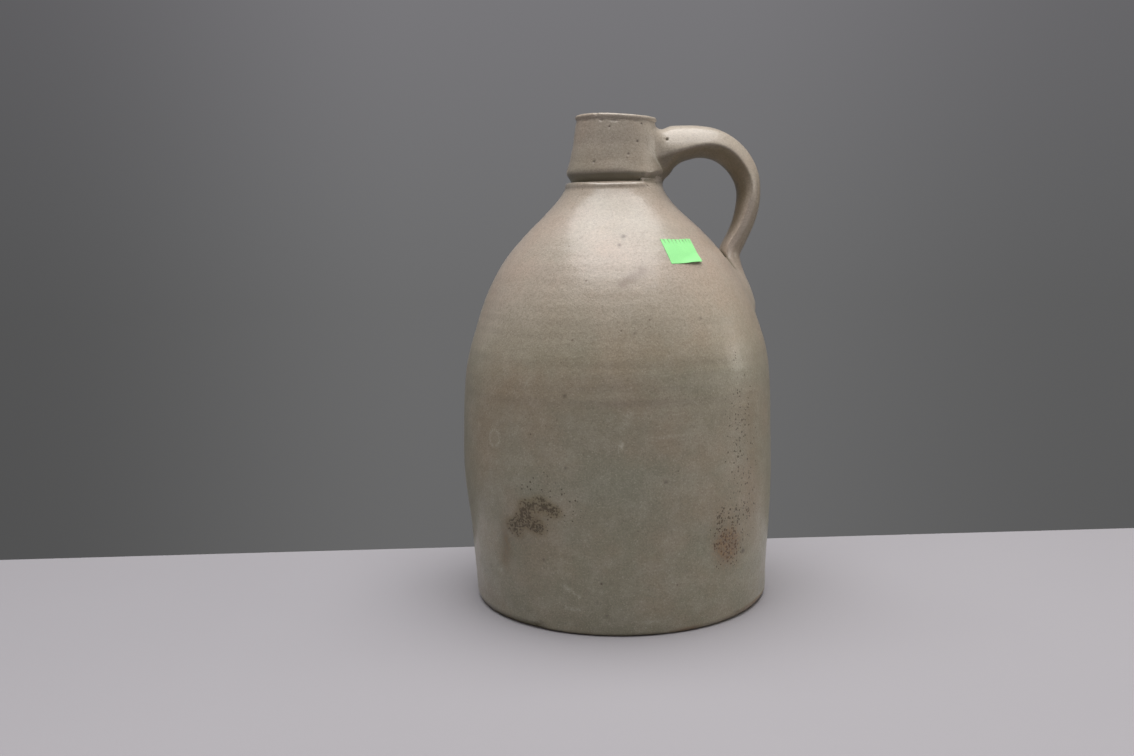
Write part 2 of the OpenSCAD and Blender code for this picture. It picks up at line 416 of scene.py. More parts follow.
def throwing(p):
    """Rings left by the potter's fingers, and the slight steps at the seam."""
    z = p[..., 2]
    az = np.arctan2(p[..., 1], p[..., 0])
    ring = np.sin(2 * math.pi * (z / 6.8 + az / (2 * math.pi)) + 1.3 * perlin(p / 45.0, 1))
    amp = 0.02 + 0.02 * step(60, 110, z) * step(200, 165, z) + 0.012 * step(150, 200, z)
    out = ring * amp * (0.6 + 0.8 * perlin(p / 30.0, 2)) * step(236, 226, z)
    out += 0.07 * bump(z, 149.3, 3.4) - 0.05 * bump(z, 142.6, 2.6)
    out += 0.05 * bump(z, 127.0, 2.8) - 0.04 * bump(z, 122.0, 2.8)
    return out


def waves(p):
    """Unevenness that every glazed piece shares, so that they meet."""
    near_foot = step(-1, 8, p[..., 2])
    return (
        near_foot * (0.26 * perlin(p / 48.0, 3) + 0.12 * perlin(p / 18.0, 4))
        + 0.035 * perlin(p / 7.2, 5)
        + 0.012 * perlin(p / 3.1, 6)
    )


def warp(p):
    """The thrown axis wanders, and the rim slopes down towards the handle."""
    q = p.copy()
    c, s = math.cos(-TURN), math.sin(-TURN)
    across = p[..., 0] * c + p[..., 1] * s
    near = step(34.0, 25.5, np.hypot(p[..., 0], p[..., 1]))
    q[..., 2] += step(258, 276, p[..., 2]) * near * (-0.9 - 1.25 * np.tanh(across / 18.0))
    d = hermite(WANDER, p[..., 2]) + hermite(LEAN, p[..., 2]) * near
    q[..., 0] += d * c
    q[..., 1] += d * s
    return q


# ---------------------------------------------------------------- meshes


def make(name, verts, quads, tris, materials, uv=None):
    """An object from points in millimetres. uv is one pair per corner, quads
    first and then triangles."""
    mesh = bpy.data.meshes.new(name)
    v = np.asarray(verts, np.float64).reshape(-1, 3) * 0.001
    groups = [np.asarray(f, np.int64) for f in (quads, tris) if len(f)]
    loops = np.concatenate([g.ravel() for g in groups])
    sizes = np.concatenate([np.full(len(g), g.shape[1]) for g in groups])
    mesh.vertices.add(len(v))
    mesh.vertices.foreach_set("co", v.astype(np.float32).ravel())
    mesh.loops.add(len(loops))
    mesh.loops.foreach_set("vertex_index", loops.astype(np.int32))
    mesh.polygons.add(len(sizes))
    starts = np.concatenate([[0], np.cumsum(sizes)[:-1]])
    mesh.polygons.foreach_set("loop_start", starts.astype(np.int32))
    mesh.polygons.foreach_set("loop_total", sizes.astype(np.int32))
    mesh.polygons.foreach_set("use_smooth", np.ones(len(sizes), bool))
    mesh.update(calc_edges=True)
    if uv is not None:
        layer = mesh.uv_layers.new(name="OFBake")
        layer.data.foreach_set("uv", np.asarray(uv, np.float32).ravel())
    if mesh.validate():
        raise RuntimeError(name + " has faults in its mesh")
    for m in materials:
        mesh.materials.append(m)
    o = bpy.data.objects.new(name, mesh)
    scene.collection.objects.link(o)
    return o


def set_mask(o, name, values):
    a = o.data.attributes.new(name, "FLOAT", "POINT")
    a.data.foreach_set("value", np.asarray(values, np.float32).ravel())


def grid_normals(p, up=1.0):
    """Normals of a grid of points [row, column, 3] whose columns close up."""
    du = np.roll(p, -1, axis=1) - np.roll(p, 1, axis=1)
    dv = np.gradient(p, axis=0)
    n = np.cross(du, dv) * up
    return n / np.maximum(np.linalg.norm(n, axis=-1), 1e-9)[..., None]


def ring_mesh(name, p, materials, first=None, last=None, closed=False, uv_v=None):
    """A mesh over a grid [row, column, 3]. first and last are the middles of
    the end caps. closed joins the last row to the first. Rows run upwards
    outside, so that faces point outwards."""
    rows, seg = p.shape[:2]
    i = np.arange(seg)
    j = (i + 1) % seg
    n_bands = rows if closed else rows - 1
    quads, uvs = [], []
    if uv_v is None:
        step_len = np.linalg.norm(np.diff(p, axis=0), axis=2).mean(1)
        if closed:
            step_len = np.append(step_len, np.linalg.norm(p[0] - p[-1], axis=1).mean())
        ends = [np.linalg.norm(p[0] - first, axis=1).mean() if first is not None else 0.0,
                np.linalg.norm(p[-1] - last, axis=1).mean() if last is not None else 0.0]
        total = step_len.sum() + sum(ends)
        uv_v = (np.concatenate([[0], np.cumsum(step_len)]) + ends[0]) / total
    u0, u1 = i / seg, (i + 1) / seg
    for k in range(n_bands):
        a, b = k * seg, ((k + 1) % rows) * seg
        quads.append(np.stack([a + i, a + j, b + j, b + i], 1))
        v0, v1 = uv_v[k], uv_v[k + 1]
        uvs.append(np.stack([np.stack([u0, np.full(seg, v0)], 1), np.stack([u1, np.full(seg, v0)], 1),
                             np.stack([u1, np.full(seg, v1)], 1), np.stack([u0, np.full(seg, v1)], 1)], 1))
    verts = [p.reshape(-1, 3)]
    tris, tri_uv = [], []
    um = (i + 0.5) / seg
    if first is not None:
        c = rows * seg
        verts.append(np.array([first], float))
        tris.append(np.stack([np.full(seg, c), j, i], 1))
        tri_uv.append(np.stack([np.stack([um, np.zeros(seg)], 1), np.stack([u1, np.full(seg, uv_v[0])], 1),
                                np.stack([u0, np.full(seg, uv_v[0])], 1)], 1))
    if last is not None:
        c = rows * seg + (1 if first is not None else 0)
        verts.append(np.array([last], float))
        a = (rows - 1) * seg
        tris.append(np.stack([np.full(seg, c), a + i, a + j], 1))
        tri_uv.append(np.stack([np.stack([um, np.ones(seg)], 1), np.stack([u0, np.full(seg, uv_v[-1])], 1),
                                np.stack([u1, np.full(seg, uv_v[-1])], 1)], 1))
    uv = np.concatenate([np.concatenate(uvs).reshape(-1, 2)]
                        + [t.reshape(-1, 2) for t in tri_uv])
    return make(name, np.concatenate(verts), np.concatenate(quads),
                np.concatenate(tris) if tris else [], materials, uv)


def turned(r, z, seg):
    """Points [row, column, 3] from radius and height, each [row] or
    [row, column]."""
    az = np.linspace(0, 2 * math.pi, seg, endpoint=False)
    r, z = np.asarray(r, float), np.asarray(z, float)
    if r.ndim == 1:
        r = r[:, None]
    if z.ndim == 1:
        z = z[:, None]
    r = r + 0 * az
    z = z + 0 * az
    return np.stack([r * np.cos(az), r * np.sin(az), z], 2)


def azimuths(seg):
    return np.degrees(np.linspace(0, 2 * math.pi, seg, endpoint=False))


def place_of(p):
    """Azimuth in degrees, radius and height of points."""
    return (np.degrees(np.arctan2(p[..., 1], p[..., 0])), np.hypot(p[..., 0], p[..., 1]), p[..., 2])


def spot(p, az, z, width, height=None, tilt=0.0, power=1.0):
    """A soft patch round a place on the jug's skin: 1 at its middle."""
    a, r, h = place_of(p)
    u = np.radians(gap(a, az)) * r
    v = h - z
    c, s = math.cos(math.radians(tilt)), math.sin(math.radians(tilt))
    u, v = u * c + v * s, -u * s + v * c
    height = width if height is None else height
    return np.exp(-(((u / width) ** 2 + (v / height) ** 2) ** power))


def line(p, az0, z0, az1, z1, width):
    """A soft line between two places on the jug's skin."""
    a, r, h = place_of(p)
    rm = float(np.median(r[np.abs(h - 0.5 * (z0 + z1)) < 4])) if (np.abs(h - 0.5 * (z0 + z1)) < 4).any() else 80.0
    u, v = np.radians(gap(a, az0)) * rm, h - z0
    bu, bv = math.radians(float(gap(az1, az0))) * rm, z1 - z0
    t = np.clip((u * bu + v * bv) / (bu * bu + bv * bv), 0, 1)
    return np.exp(-(((u - t * bu) ** 2 + (v - t * bv) ** 2) / width**2))


# ---------------------------------------------------------------- foot


def foot_shape(az):
    """How deep and how high the foot's edge is cut away, by azimuth, and how
    crisp the cut is."""
    ring = np.stack([np.cos(np.radians(az)), np.sin(np.radians(az)), 0 * az], -1)
    cut = step(-129.5, -132.5, gap(az, 0)) * step(-205, -185, gap(az, 0)) + step(130, 165, gap(az, 0))
    cut = np.clip(cut, 0, 1)
    lifted = bump(gap(az, -38), 0, 26)
    deep = 1.25 + 0.9 * cut * (1 - bump(gap(az, 178), 0, 26)) + 1.0 * lifted + 0.35 * perlin(ring * 3.1, 21)
    high = 2.3 + 1.1 * cut + 2.3 * lifted + 0.5 * perlin(ring * 2.3, 22) + 0.25 * perlin(ring * 9.0, 23)
    return np.clip(deep, 0.7, 4), np.clip(high, 1.2, 5.5), cut


# ---------------------------------------------------------------- pieces


def build_body(materials):
    seg = 520
    az = azimuths(seg)
    deep, high, cut = foot_shape(az)
    rows_r, rows_z = [], []
    rim_r = wall_r(high) - deep - 1.5
    ring = np.stack([np.cos(np.radians(az)), np.sin(np.radians(az)), 0 * az], -1)
    for f in (0.07, 0.18, 0.3, 0.42, 0.54, 0.65, 0.75, 0.84, 0.91, 0.96, 0.985):
        r = f * rim_r
        z = 0.55 * (1 - f**4) + 0.12 * perlin(ring * f * 5.0, 24) * (1 - f) * 2
        rows_r.append(r)
        rows_z.append(np.clip(z, 0.0, None))
    rows_r.append(rim_r)
    rows_z.append(np.zeros(seg))
    lift = 0.45 + 0.15 * perlin(ring * 2.7, 25)
    for t in (0.0, 0.08, 0.2, 0.36, 0.54, 0.72, 0.86, 0.95, 1.0):
        soft_edge = deep * (1 - (1 - t) ** 1.9)
        crisp_edge = deep * (0.25 * t + 0.75 * (1 - (1 - t) ** 1.25))
        inwards = (1 - cut) * soft_edge + cut * crisp_edge
        rows_r.append(rim_r + 1.5 + inwards)
        rows_z.append(lift + (high - lift) * t)
    for t in (0.16, 0.32, 0.48, 0.64, 0.82):
        z = high + (9.0 - high) * t
        rows_r.append(wall_r(z) + cut * 0.12 * math.exp(-((t / 0.2) ** 2)))
        rows_z.append(z)
    outer = even(np.stack([wall_r(np.linspace(9.0, SEAM_Z, 1200)), np.linspace(9.0, SEAM_Z, 1200)], 1), 1.02)
    for r, z in outer:
        rows_r.append(np.full(seg, r))
        rows_z.append(np.full(seg, z))
    n_outer = len(rows_r)
    first_outer = 12
    for r, z in ((wall_r(144.9) - 0.02, 144.9), (wall_r(145.6) - 0.1, 145.6), (wall_r(146.0) - 0.9, 146.0),
                 (wall_r(146.2) - 2.6, 146.2)):
        rows_r.append(np.full(seg, r))
        rows_z.append(np.full(seg, z))
    inside = _plain_outside - outward(_plain_outside) * (WALL - 0.02)
    inside = inside[(inside[:, 1] < 146.0) & (inside[:, 1] > 9.0 + 14.0)][::-1]
    inside = even(inside, 9.0)
    r_floor = inside[-1, 0]
    for r, z in inside:
        rows_r.append(np.full(seg, r))
        rows_z.append(np.full(seg, z))
    for a in (20, 45, 70, 90):
        rows_r.append(np.full(seg, r_floor - 14 * (1 - math.cos(math.radians(a)))))
        rows_z.append(np.full(seg, 9.0 + 14 * (1 - math.sin(math.radians(a)))))
    for r in (44, 22, 8):
        rows_r.append(np.full(seg, float(r)))
        rows_z.append(np.full(seg, 9.0))
    p = turned(np.array(rows_r), np.array(rows_z), seg)
    n = grid_normals(p)
    amount = np.zeros(len(p))
    amount[first_outer:n_outer + 3] = 1.0
    amount[first_outer:first_outer + 4] = (0.2, 0.4, 0.6, 0.8)
    d = (throwing(p) + waves(p)) * amount[:, None]
    d += 0.9 * spot(p, -10.0, 4.0, 24.0, 9.0) * amount[:, None]
    # Chips where the cut of the foot's edge ends.
    for a0, z0, w, h, dd in ((-131.0, 3.2, 1.6, 1.2, 0.9), (-134.2, 2.2, 1.3, 0.9, 0.8), (-129.0, 1.2, 1.9, 1.0, 0.6),
                             (-84.0, 2.6, 2.6, 0.9, 0.45), (-52.0, 3.4, 2.2, 1.1, 0.5), (20.0, 2.2, 3.0, 1.3, 0.8),
                             (96.0, 2.0, 2.4, 1.2, 0.7), (171.0, 2.6, 1.8, 1.0, 0.7)):
        d -= dd * spot(p, a0, z0, w, h) * amount[:, None]
    p = p + n * d[..., None]
    p[..., 2] = np.where(p[..., 2] < 0.0, 0.0, p[..., 2])
    grown = p.copy()
    p = warp(p)
    p[..., 2] = np.where(np.arange(len(p))[:, None] == 11, 0.0, p[..., 2])
    o = ring_mesh("lower_body", p, materials, first=(0.5, 0, 0.6), last=(0, 0, 9.0))
    return o, grown, dict(n_outer=n_outer, cut=cut, high=high, seg=seg)


def shoulder_skin():
    """The shoulder's outside from the seam up to the crease, in r and z: the
    main part, and its top with a bead under the crease and without."""
    s = _fine_shoulder[_fine_shoulder[:, 1] < 235.4]
    bead = rounded([tuple(s[-1]), (28.15, 236.1), (28.1, 236.9), (27.9, 237.6), (27.35, 238.3), (26.5, 238.9),
                    (25.2, 239.35), (23.4, 239.5)])
    bare = rounded([tuple(s[-1]), (27.5, 236.1), (26.5, 236.5), (25.9, 236.9), (25.4, 237.4), (25.0, 238.0),
                    (24.6, 238.6), (23.4, 239.5)])
    n = int(round(lengths(bead)[-1] / 0.34))
    u = np.linspace(0, 1, n + 1)[1:, None]
    pick = [np.stack([np.interp(u[:, 0], lengths(q) / lengths(q)[-1], q[:, k]) for k in (0, 1)], 1) for q in (bead, bare)]
    return s, pick[0], pick[1]


def build_shoulder(materials):
    seg = 600
    s, bead, bare = shoulder_skin()
    w = smeared(azimuths(seg))
    rows = [(wall_r(142.0) - 0.9, 142.0), (wall_r(142.4) - 0.1, 142.4), (wall_r(143.2) - 0.02, 143.2)]
    main = even(s, 0.98)
    rows += [tuple(q) for q in main]
    n_main = len(rows)
    rows += [tuple(q) for q in bead]
    n_outer = len(rows)
    rows += [(21.6, 240.2), (21.45, 246.0), (21.4, 250.6), (20.4, 250.9), (17.6, 250.9), (16.6, 250.6),
             (16.9, 246.0)]
    inside = _plain_outside - outward(_plain_outside) * (WALL - 0.02)
    inside = inside[(inside[:, 1] > 147.2) & (inside[:, 0] > 19.5)][::-1]
    rows += [tuple(q) for q in even(inside, 7.5)]
    rows += [(wall_r(145.5) - 4.0, 143.4)]
    r, z = np.array(rows).T
    r, z = r[:, None] + 0 * w, z[:, None] + 0 * w
    r[n_main:n_outer] += (bare - bead)[:, :1] * w
    z[n_main:n_outer] += (bare - bead)[:, 1:] * w
    # The bead stands a little higher on the side away from the handle.
    lift = 1.0 * step(105, 165, np.abs(gap(azimuths(seg), 0.0)))
    z[n_main:n_outer] += lift * (step(0, 6, np.arange(n_outer - n_main)) * step(239.5, 238.4, bead[:, 1]))[:, None]
    p = turned(r, z, seg)
    n = grid_normals(p)
    amount = np.zeros(len(p))
    amount[:n_main] = 1.0
    amount[n_main:n_outer] = np.linspace(1, 0.35, n_outer - n_main)
    outer = p[:n_outer]
    outer = run_together(outer, n[:n_outer], "jug")
    p[:n_outer] = outer
    n = grid_normals(p)
    d = (throwing(p) * step(2.0, 9.0, union(p)[2]) + waves(p)) * amount[:, None]
    p = p + n * d[..., None]
    grown = p.copy()
    p = warp(p)
    o = ring_mesh("shoulder_cap", p, materials, closed=True)
    return o, grown, dict(n_outer=n_outer, n_main=n_main, seg=seg)


def build_collar(materials):
    seg = 560
    az = azimuths(seg)
    w = smeared(az)[None, :]
    crease = even(CREASE_LINE, 0.33)
    n_c = len(crease)
    su = lengths(SMEAR_LINE)
    u = np.linspace(0, su[-1], n_c)
    smear = np.stack([np.interp(u, su, SMEAR_LINE[:, 0]), np.interp(u, su, SMEAR_LINE[:, 1])], 1)
    low_r = crease[:, :1] * (1 - w) + smear[:, :1] * w
    low_z = crease[:, 1:] * (1 - w) + smear[:, 1:] * w
    i_bore = int(np.argmax(SLANT_LINE[:, 0] < 14.56))
    wall = even(SLANT_LINE[: int(np.argmax(SLANT_LINE[:, 1] > 271.5))], 0.42)
    lip = even(SLANT_LINE[int(np.argmax(SLANT_LINE[:, 1] > 271.5)):i_bore], 0.27)
    bore = even(SLANT_LINE[i_bore:], 1.1)
    run = np.concatenate([wall[1:], lip, bore])
    run_r = run[:, :1] + 0 * w
    run_z = run[:, 1:] + 0 * w
    start_r = np.full((1, seg), 21.7)
    start_z = np.full((1, seg), 239.2) * (1 - w) + 236.4 * w
    start_r = start_r * (1 - w) + 23.6 * w
    end_r = np.array([[16.5], [19.0], [21.6]]) + 0 * w
    end_z = np.array([[251.0], [251.0], [251.0]]) + 0 * w
    side_r = np.array([[21.65]]) + 0 * w
    side_z = np.array([[246.0]]) + 0 * w
    r = np.concatenate([start_r, low_r, run_r, end_r, side_r])
    z = np.concatenate([start_z, low_z, run_z, end_z, side_z])
    n_low = 1 + n_c
    n_outer = n_low + len(wall) - 1
    n_lip = n_outer + len(lip)
    n_bore = n_lip + len(bore)
    p = turned(r, z, seg)
    n = grid_normals(p)
    p[1:n_lip] = run_together(p[1:n_lip], n[1:n_lip], "jug")
    # Its lower edge dips towards the handle.
    near = gap(az, 0.0)
    p[1:n_lip, :, 2] -= 1.35 * (step(-92, -68, near) * step(110, 70, near) * step(32, 54, np.abs(near))
                                * step(251.5, 246.5, z[1:n_lip]) * step(240.0, 243.5, z[1:n_lip]))
    n = grid_normals(p)
    amount = np.ones(len(p))
    amount[:2] = 0.0
    amount[2:n_low] = np.linspace(0.35, 1.0, n_low - 2)
    amount[n_lip:] = 0.6
    amount[n_bore:] = 0.0
    d = waves(p) * amount[:, None]
    # The hand-finished lip is uneven, and a little chipped.
    a, rr, zz = place_of(p)
    lip_zone = np.zeros(len(p))
    lip_zone[n_outer - 6:n_lip] = 1.0
    d += lip_zone[:, None] * (0.16 * perlin(np.stack([np.cos(np.radians(a)) * 4, np.sin(np.radians(a)) * 4, zz / 9], -1), 31)
                              + 0.07 * perlin(np.stack([np.cos(np.radians(a)) * 15, np.sin(np.radians(a)) * 15, zz / 2], -1), 32))
    for a0, z0, ww, hh, dd in ((-121.0, 273.2, 1.5, 0.9, 0.55), (-103.0, 273.0, 1.9, 0.7, 0.6), (-73.0, 273.6, 1.6, 0.8, 0.45),
                               (-146.0, 273.3, 2.6, 0.8, 0.4), (-128.0, 276.2, 1.0, 0.8, 0.35), (88.0, 274.0, 2.2, 1.1, 0.7),
                               (152.0, 275.2, 1.4, 1.0, 0.5)):
        d -= dd * spot(p, a0, z0, ww, hh) * lip_zone[:, None]
    for a0, z0, ww, dd in ((-109.3, 269.3, 0.55, 0.45), (-69.6, 261.0, 0.6, 0.4), (-82.7, 254.0, 0.7, 0.35),
                           (-125.9, 250.1, 0.7, 0.4), (-62.1, 272.1, 0.6, 0.5)):
        d -= dd * spot(p, a0, z0, ww) * amount[:, None]
    p = p + n * d[..., None]
    grown = p.copy()
    p = warp(p)
    o = ring_mesh("spout_collar", p, materials, closed=True)
    return o, grown, dict(n_low=n_low, n_outer=n_outer, n_lip=n_lip, n_bore=n_bore, seg=seg)


def build_handle(materials):
    rows, seg = 330, 168
    place = np.linspace(0, STRAP_LEN, rows)
    c = np.stack([np.interp(place, SS, SP[:, j]) for j in range(4)], 1)
    nx = np.interp(place, SS, SN[:, 0])
    nz = np.interp(place, SS, SN[:, 1])
    phi = np.linspace(0, 2 * math.pi, seg, endpoint=False)
    cs, sn = np.cos(phi), np.sin(phi)
    half_w, half_t = (c[:, 3] / 2)[:, None], (c[:, 2] / 2)[:, None]
    y, s = half_w * cs, half_t * sn
    g = section(y, s, half_w, half_t)
    across = y / g / half_w
    y, s = turned_out(y / g, s / g, place[:, None])
    s = s - y * y * curl(place)[:, None]
    p = np.stack([c[:, :1] + nx[:, None] * s, y, c[:, 1:2] + nz[:, None] * s], 2)
    n = grid_normals(p)
    # The root wraps round the collar inside its wall.
    reach = np.hypot(p[..., 0], p[..., 1])
    floor_r = np.maximum(18.6, wall_r(np.clip(p[..., 2], 225, 240)) - 4.2)
    x_min = np.sqrt(np.clip(floor_r**2 - p[..., 1] ** 2, 0, None))
    p[..., 0] = np.where(reach < floor_r, np.maximum(p[..., 0], x_min), p[..., 0])
    p = run_together(p, n, "strap")
    n = grid_normals(p)
    # Two grooves along the outside, left by the potter's fingers.
    outside = step(0.0, 0.3, sn)[None, :]
    arch = step(34, 62, place)[:, None] * step(STRAP_LEN - 8, STRAP_LEN - 55, place)[:, None]
    deeper = 0.25 + 0.6 * step(96, 124, place)[:, None] * step(STRAP_LEN - 20, STRAP_LEN - 50, place)[:, None]
    d = -(bump(across, 0.66, 0.15) + bump(across, -0.66, 0.15)) * deeper * outside * arch
    d = d + waves(p) * (1 - step(3, 1, place)[:, None])
    d = d + 0.10 * perlin(np.stack([p[..., 0] / 16, p[..., 1] / 5, p[..., 2] / 16], -1), 41) * arch
    pit = np.exp(-(((p[..., 0] - 28.0) ** 2 + (p[..., 2] - 262.8) ** 2) / 0.75**2)) * (p[..., 1] < -6)
    d = d - 1.1 * pit
    p = p + n * d[..., None]
    grown = p.copy()
    p = warp(p)
    first = p[0].mean(0)
    last = p[-1].mean(0)
    o = ring_mesh("handle", p, materials, first=tuple(first), last=tuple(last))
    return o, grown, dict(pit=pit, place=place, across=across, sn=sn)


def build_lining(materials):
    seg = 240
    keep = (_plain_outside[:, 1] < 237.5)
    out = _plain_outside - outward(_plain_outside) * (WALL + 0.02)
    inn = _plain_outside - outward(_plain_outside) * (WALL + LINING)
    floor_out = [(0.4, 9.05), (20, 9.05), (42, 9.05), (60, 9.05)]

    def side(curve, off, fl, bend):
        c = curve[keep & (curve[:, 1] > fl + bend + 2)]
        r0 = c[0, 0] - 0.2
        pts = [(6.0, fl), (24.0, fl), (44.0, fl), (r0 - bend - 1, fl)]
        pts += [(r0 - bend * (1 - math.sin(math.radians(a))), fl + bend * (1 - math.cos(math.radians(a))))
                for a in (12, 26, 40, 54, 68, 80, 90)]
        pts += [tuple(q) for q in even(c, 1.9)]
        return pts, c
    outer, _ = side(out, WALL, 9.02, 14.0)
    inner, _ = side(inn, WALL + LINING, 9.02 + LINING, 13.4)
    outer = [q for q in outer if q[0] > 17.4 or q[1] < 200] + [(16.55, 246.0), (16.5, 250.9)]
    inner = [q for q in inner if q[0] > 17.2 or q[1] < 200] + [(15.95, 244.0), (15.9, 250.9)]
    rows = outer + inner[::-1]
    r, z = np.array(rows).T
    p = turned(r, z, seg)
    n = grid_normals(p)
    ripples = np.zeros(len(p))
    ripples[len(outer) + 2:] = 1.0
    az = np.arctan2(p[..., 1], p[..., 0])
    ring = 0.12 * np.sin(2 * math.pi * (p[..., 2] / 8.5 + az / (2 * math.pi))) * step(25, 40, p[..., 2])
    d = (np.clip(ring, -0.12, 0.12) + 0.1 * perlin(p / 20.0, 51) - 0.05) * ripples[:, None]
    d = np.clip(d, -0.3, 0.3)
    p = p + n * d[..., None] * step(252, 244, p[..., 2])[..., None]
    p = warp(p)
    o = ring_mesh("slip_lining", p, materials, first=(0, 0, 9.02), last=(0, 0, 9.02 + LINING))
    return o


def skin_point(az, z, off):
    """Points on the finished outside of the shoulder, off its surface."""
    s = shoulder_skin()[0]
    n2 = outward(s)
    r = np.interp(z, s[:, 1], s[:, 0])
    nr = np.interp(z, s[:, 1], n2[:, 0])
    nz = np.interp(z, s[:, 1], n2[:, 1])
    a = np.radians(az)
    p = np.stack([r * np.cos(a), r * np.sin(a), z], -1)
    n = np.stack([nr * np.cos(a), nr * np.sin(a), nz], -1)
    return warp(p + n * (throwing(p) + waves(p) + off)[..., None])


def build_label(materials):
    """A blank price-gun label: a thin sheet with short cuts along its upper
    edge and one corner lifting off."""
    nu, nv = 106, 84
    u, v = np.meshgrid(np.linspace(0, 1, nu + 1), np.linspace(0, 1, nv + 1), indexing="ij")
    az = (-73.8 * (1 - u) - 51.8 * u) * v + (-72.9 * (1 - u) - 55.0 * u) * (1 - v)
    z = (207.0 * (1 - u) + 206.7 * u) * v + (194.2 * (1 - u) + 194.1 * u) * (1 - v)
    z = z + 0.12 * np.sin(9 * u) * v
    lift = 1.25 * step(0.55, 1.0, u * 0.62 + (1 - v) * 0.5) ** 1.6 * step(0.45, 0.0, v)
    lift = lift + 0.14 * step(0.9, 1.0, v) * (0.5 + 0.5 * np.sin(31 * u)) + 0.05
    top = skin_point(az, z, lift + 0.12)
    low = skin_point(az, z, lift)
    full = np.ones((nu, nv), bool)
    # Cuts that let such a label tear when it is peeled.
    for k in range(8):
        c0 = 0.075 + k * 0.118
        for jv in range(nv - 15, nv):
            x = c0 + 0.022 * (nv - jv) / 15.0
            i = int(round(x * nu))
            wide = 1 if jv < nv - 8 else 2
            full[max(0, i):min(nu, i + wide), jv] = False
    ids = -np.ones((nu + 1, nv + 1), int)
    used = np.zeros((nu + 1, nv + 1), bool)
    ii, jj = np.nonzero(full)
    for di in (0, 1):
        for dj in (0, 1):
            used[ii + di, jj + dj] = True
    ids[used] = np.arange(used.sum())
    n = int(used.sum())
    quads = [np.stack([ids[ii, jj], ids[ii + 1, jj], ids[ii + 1, jj + 1], ids[ii, jj + 1]], 1)]
    quads.append(np.stack([ids[ii, jj], ids[ii, jj + 1], ids[ii + 1, jj + 1], ids[ii + 1, jj]], 1) + n)
    pad = np.zeros((nu + 2, nv + 2), bool)
    pad[1:-1, 1:-1] = full

    def rim(di, dj, a, b):
        e = full & ~pad[1 + di:nu + 1 + di, 1 + dj:nv + 1 + dj]
        i, j = np.nonzero(e)
        p0 = ids[i + a[0], j + a[1]]
        p1 = ids[i + b[0], j + b[1]]
        quads.append(np.stack([p0, p0 + n, p1 + n, p1], 1))
    rim(0, -1, (0, 0), (1, 0))
    rim(1, 0, (1, 0), (1, 1))
    rim(0, 1, (1, 1), (0, 1))
    rim(-1, 0, (0, 1), (0, 0))
    verts = np.concatenate([top[used], low[used]])
    q = np.concatenate(quads)
    uu = np.concatenate([u[used] * 0.48, 0.52 + u[used] * 0.48])
    vv = np.concatenate([v[used], v[used]])
    uv = np.stack([uu[q], vv[q]], -1).reshape(-1, 2)
    side = len(quads[0]) * 2
    uvq = uv.reshape(-1, 4, 2)
    uvq[side:, :, 0] = np.linspace(0.485, 0.515, 2)[[0, 1, 1, 0]]
    k = np.arange(len(uvq) - side) / max(1, len(uvq) - side)
    uvq[side:, :, 1] = np.stack([k, k, k + 0.9 / len(k), k + 0.9 / len(k)], 1)
    return make("lot_label", verts, q, [], materials, uvq.reshape(-1, 2))


# ---------------------------------------------------------------- materials


def srgb(r, g, b):
    """A linear colour from 0-255 screen values."""
    return tuple((c / 12.92 if c <= 0.04045 else ((c + 0.055) / 1.055) ** 2.4)
                 for c in (r / 255.0, g / 255.0, b / 255.0)) + (1.0,)


